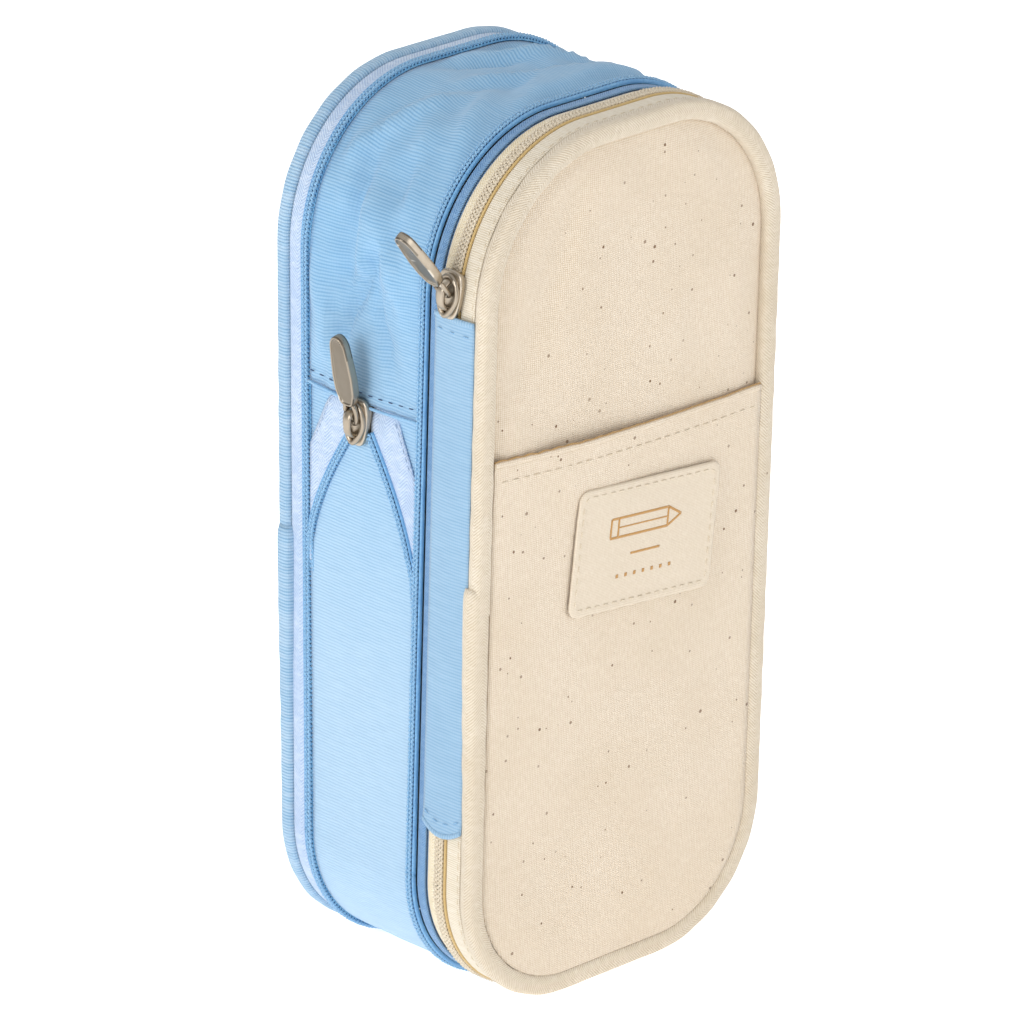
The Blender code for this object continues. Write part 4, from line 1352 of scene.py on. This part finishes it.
def zip_pair(prefix, origin, along, tilt):
    """A slider and its pull at their places, the pull tilted out from the cloth."""
    place_at = slider_frame(origin, along)
    slider = make_slider(prefix + "_slider_metal")
    slider.data.transform(place_at)
    pivot = Matrix.Translation((0, CROWN_TOP - 2 * BRIDGE - EYE_WIRE - 0.35 * MM, 0))
    pull = make_pull(prefix + "_pull_metal")
    pull.data.transform(place_at @ pivot @ Matrix.Rotation(-tilt, 4, "X"))
    for piece in (slider, pull):
        smooth(piece)
    place(slider, prefix + "_zip_slider", "nickel", prefix + "_slider")
    place(pull, prefix + "_zip_pull", "nickel", prefix + "_pull")


cover_lo, cover_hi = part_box("cover_slider")
cover_angle = math.asin((184.5 * MM - (TOP - TOP_RADIUS)) / TOP_RADIUS)
cover_s = left_s(TOP - TOP_RADIUS) + cover_angle * TOP_RADIUS
cover_point, cover_out = outline(np.array([cover_s]), 0.5 * MM)
cover_spot = cover_point[0] + cover_out[0] * 0.35 * MM
zip_pair("cover", (cover_spot[0], (cover_lo.y + cover_hi.y) / 2, cover_spot[1]),
         (math.sin(cover_angle), 0, math.cos(cover_angle)), math.radians(45))
side_lo, side_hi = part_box("expansion_slider")
zip_pair("expansion", (side_hi.x, GUSSET_MIDDLE, (side_lo.z + side_hi.z) / 2), (0, 0, 1),
         math.radians(13))

# ---------------------------------------------------------------- floor, light, camera
floor_material = Nodes("floor")
grain = floor_material.noise(floor_material.place, 60.0, 3.0)
floor_tone = floor_material.mix(floor_material.span(grain, 0.3, 0.7), srgb(252, 252, 252),
                                srgb(248, 248, 249))
floor_material.finish(floor_tone, 0.9, None, Specular_IOR_Level=0.1,
                      Emission_Color=(1.0, 1.0, 1.0, 1.0), Emission_Strength=0.6)
floor = new_mesh("floor", [(-6, -6, 0), (6, -6, 0), (6, 6, 0), (-6, 6, 0)], [[0, 1, 2, 3]],
                 [(0, 0), (1, 0), (1, 1), (0, 1)], floor_material.material)
floor.location.z = BASE - 0.1 * MM

world = bpy.data.worlds.new("studio")
bpy.context.scene.world = world
world.use_nodes = True
sky = world.node_tree.nodes
rise = sky.new("ShaderNodeSeparateXYZ")
direction = sky.new("ShaderNodeTexCoord")
ramp = sky.new("ShaderNodeMapRange")
for socket, value in zip(ramp.inputs[1:5], (0.0, 0.75, 0.34, 0.70)):
    socket.default_value = value
links = world.node_tree.links
links.new(direction.outputs["Generated"], rise.inputs[0])
links.new(rise.outputs[2], ramp.inputs[0])
links.new(ramp.outputs[0], sky["Background"].inputs[1])
sky["Background"].inputs[0].default_value = (1.0, 1.0, 1.0, 1.0)


def lamp(name, spot, size, power):
    """A square lamp at a spot, turned to the case's middle."""
    data = bpy.data.lights.new(name, "AREA")
    data.shape = "SQUARE"
    data.size = size
    data.energy = power
    obj = bpy.data.objects.new(name, data)
    obj.location = spot
    obj.rotation_euler = (MIDDLE - Vector(spot)).to_track_quat("-Z", "Y").to_euler()
    bpy.context.scene.collection.objects.link(obj)


MIDDLE = Vector((0, 0, TOP / 2))
lamp("key", (-1.1, -0.15, 0.55), 0.45, 5.6)
lamp("fill", (0.25, -1.2, 0.5), 0.8, 3.4)
lamp("rim", (0.4, 0.9, 0.9), 0.6, 1.5)

CAMERA_SPOT = (-1.4090, -1.3807, 0.9056)
CAMERA_YAW = math.radians(45.41 + 0.095)
CAMERA_PITCH = math.radians(22.12 - 0.139)
CAMERA_ROLL = math.radians(1.63)
camera = bpy.data.objects.new("camera", bpy.data.cameras.new("camera"))
camera.data.lens = 311.5
camera.data.sensor_width = 36
camera.location = CAMERA_SPOT
look = Vector((math.sin(CAMERA_YAW) * math.cos(CAMERA_PITCH),
               math.cos(CAMERA_YAW) * math.cos(CAMERA_PITCH), -math.sin(CAMERA_PITCH)))
aim = look.to_track_quat("-Z", "Y").to_matrix().to_4x4() @ Matrix.Rotation(CAMERA_ROLL, 4, "Z")
camera.rotation_euler = aim.to_euler()
bpy.context.scene.collection.objects.link(camera)
bpy.context.scene.camera = camera
bpy.context.scene.view_settings.view_transform = "Standard"
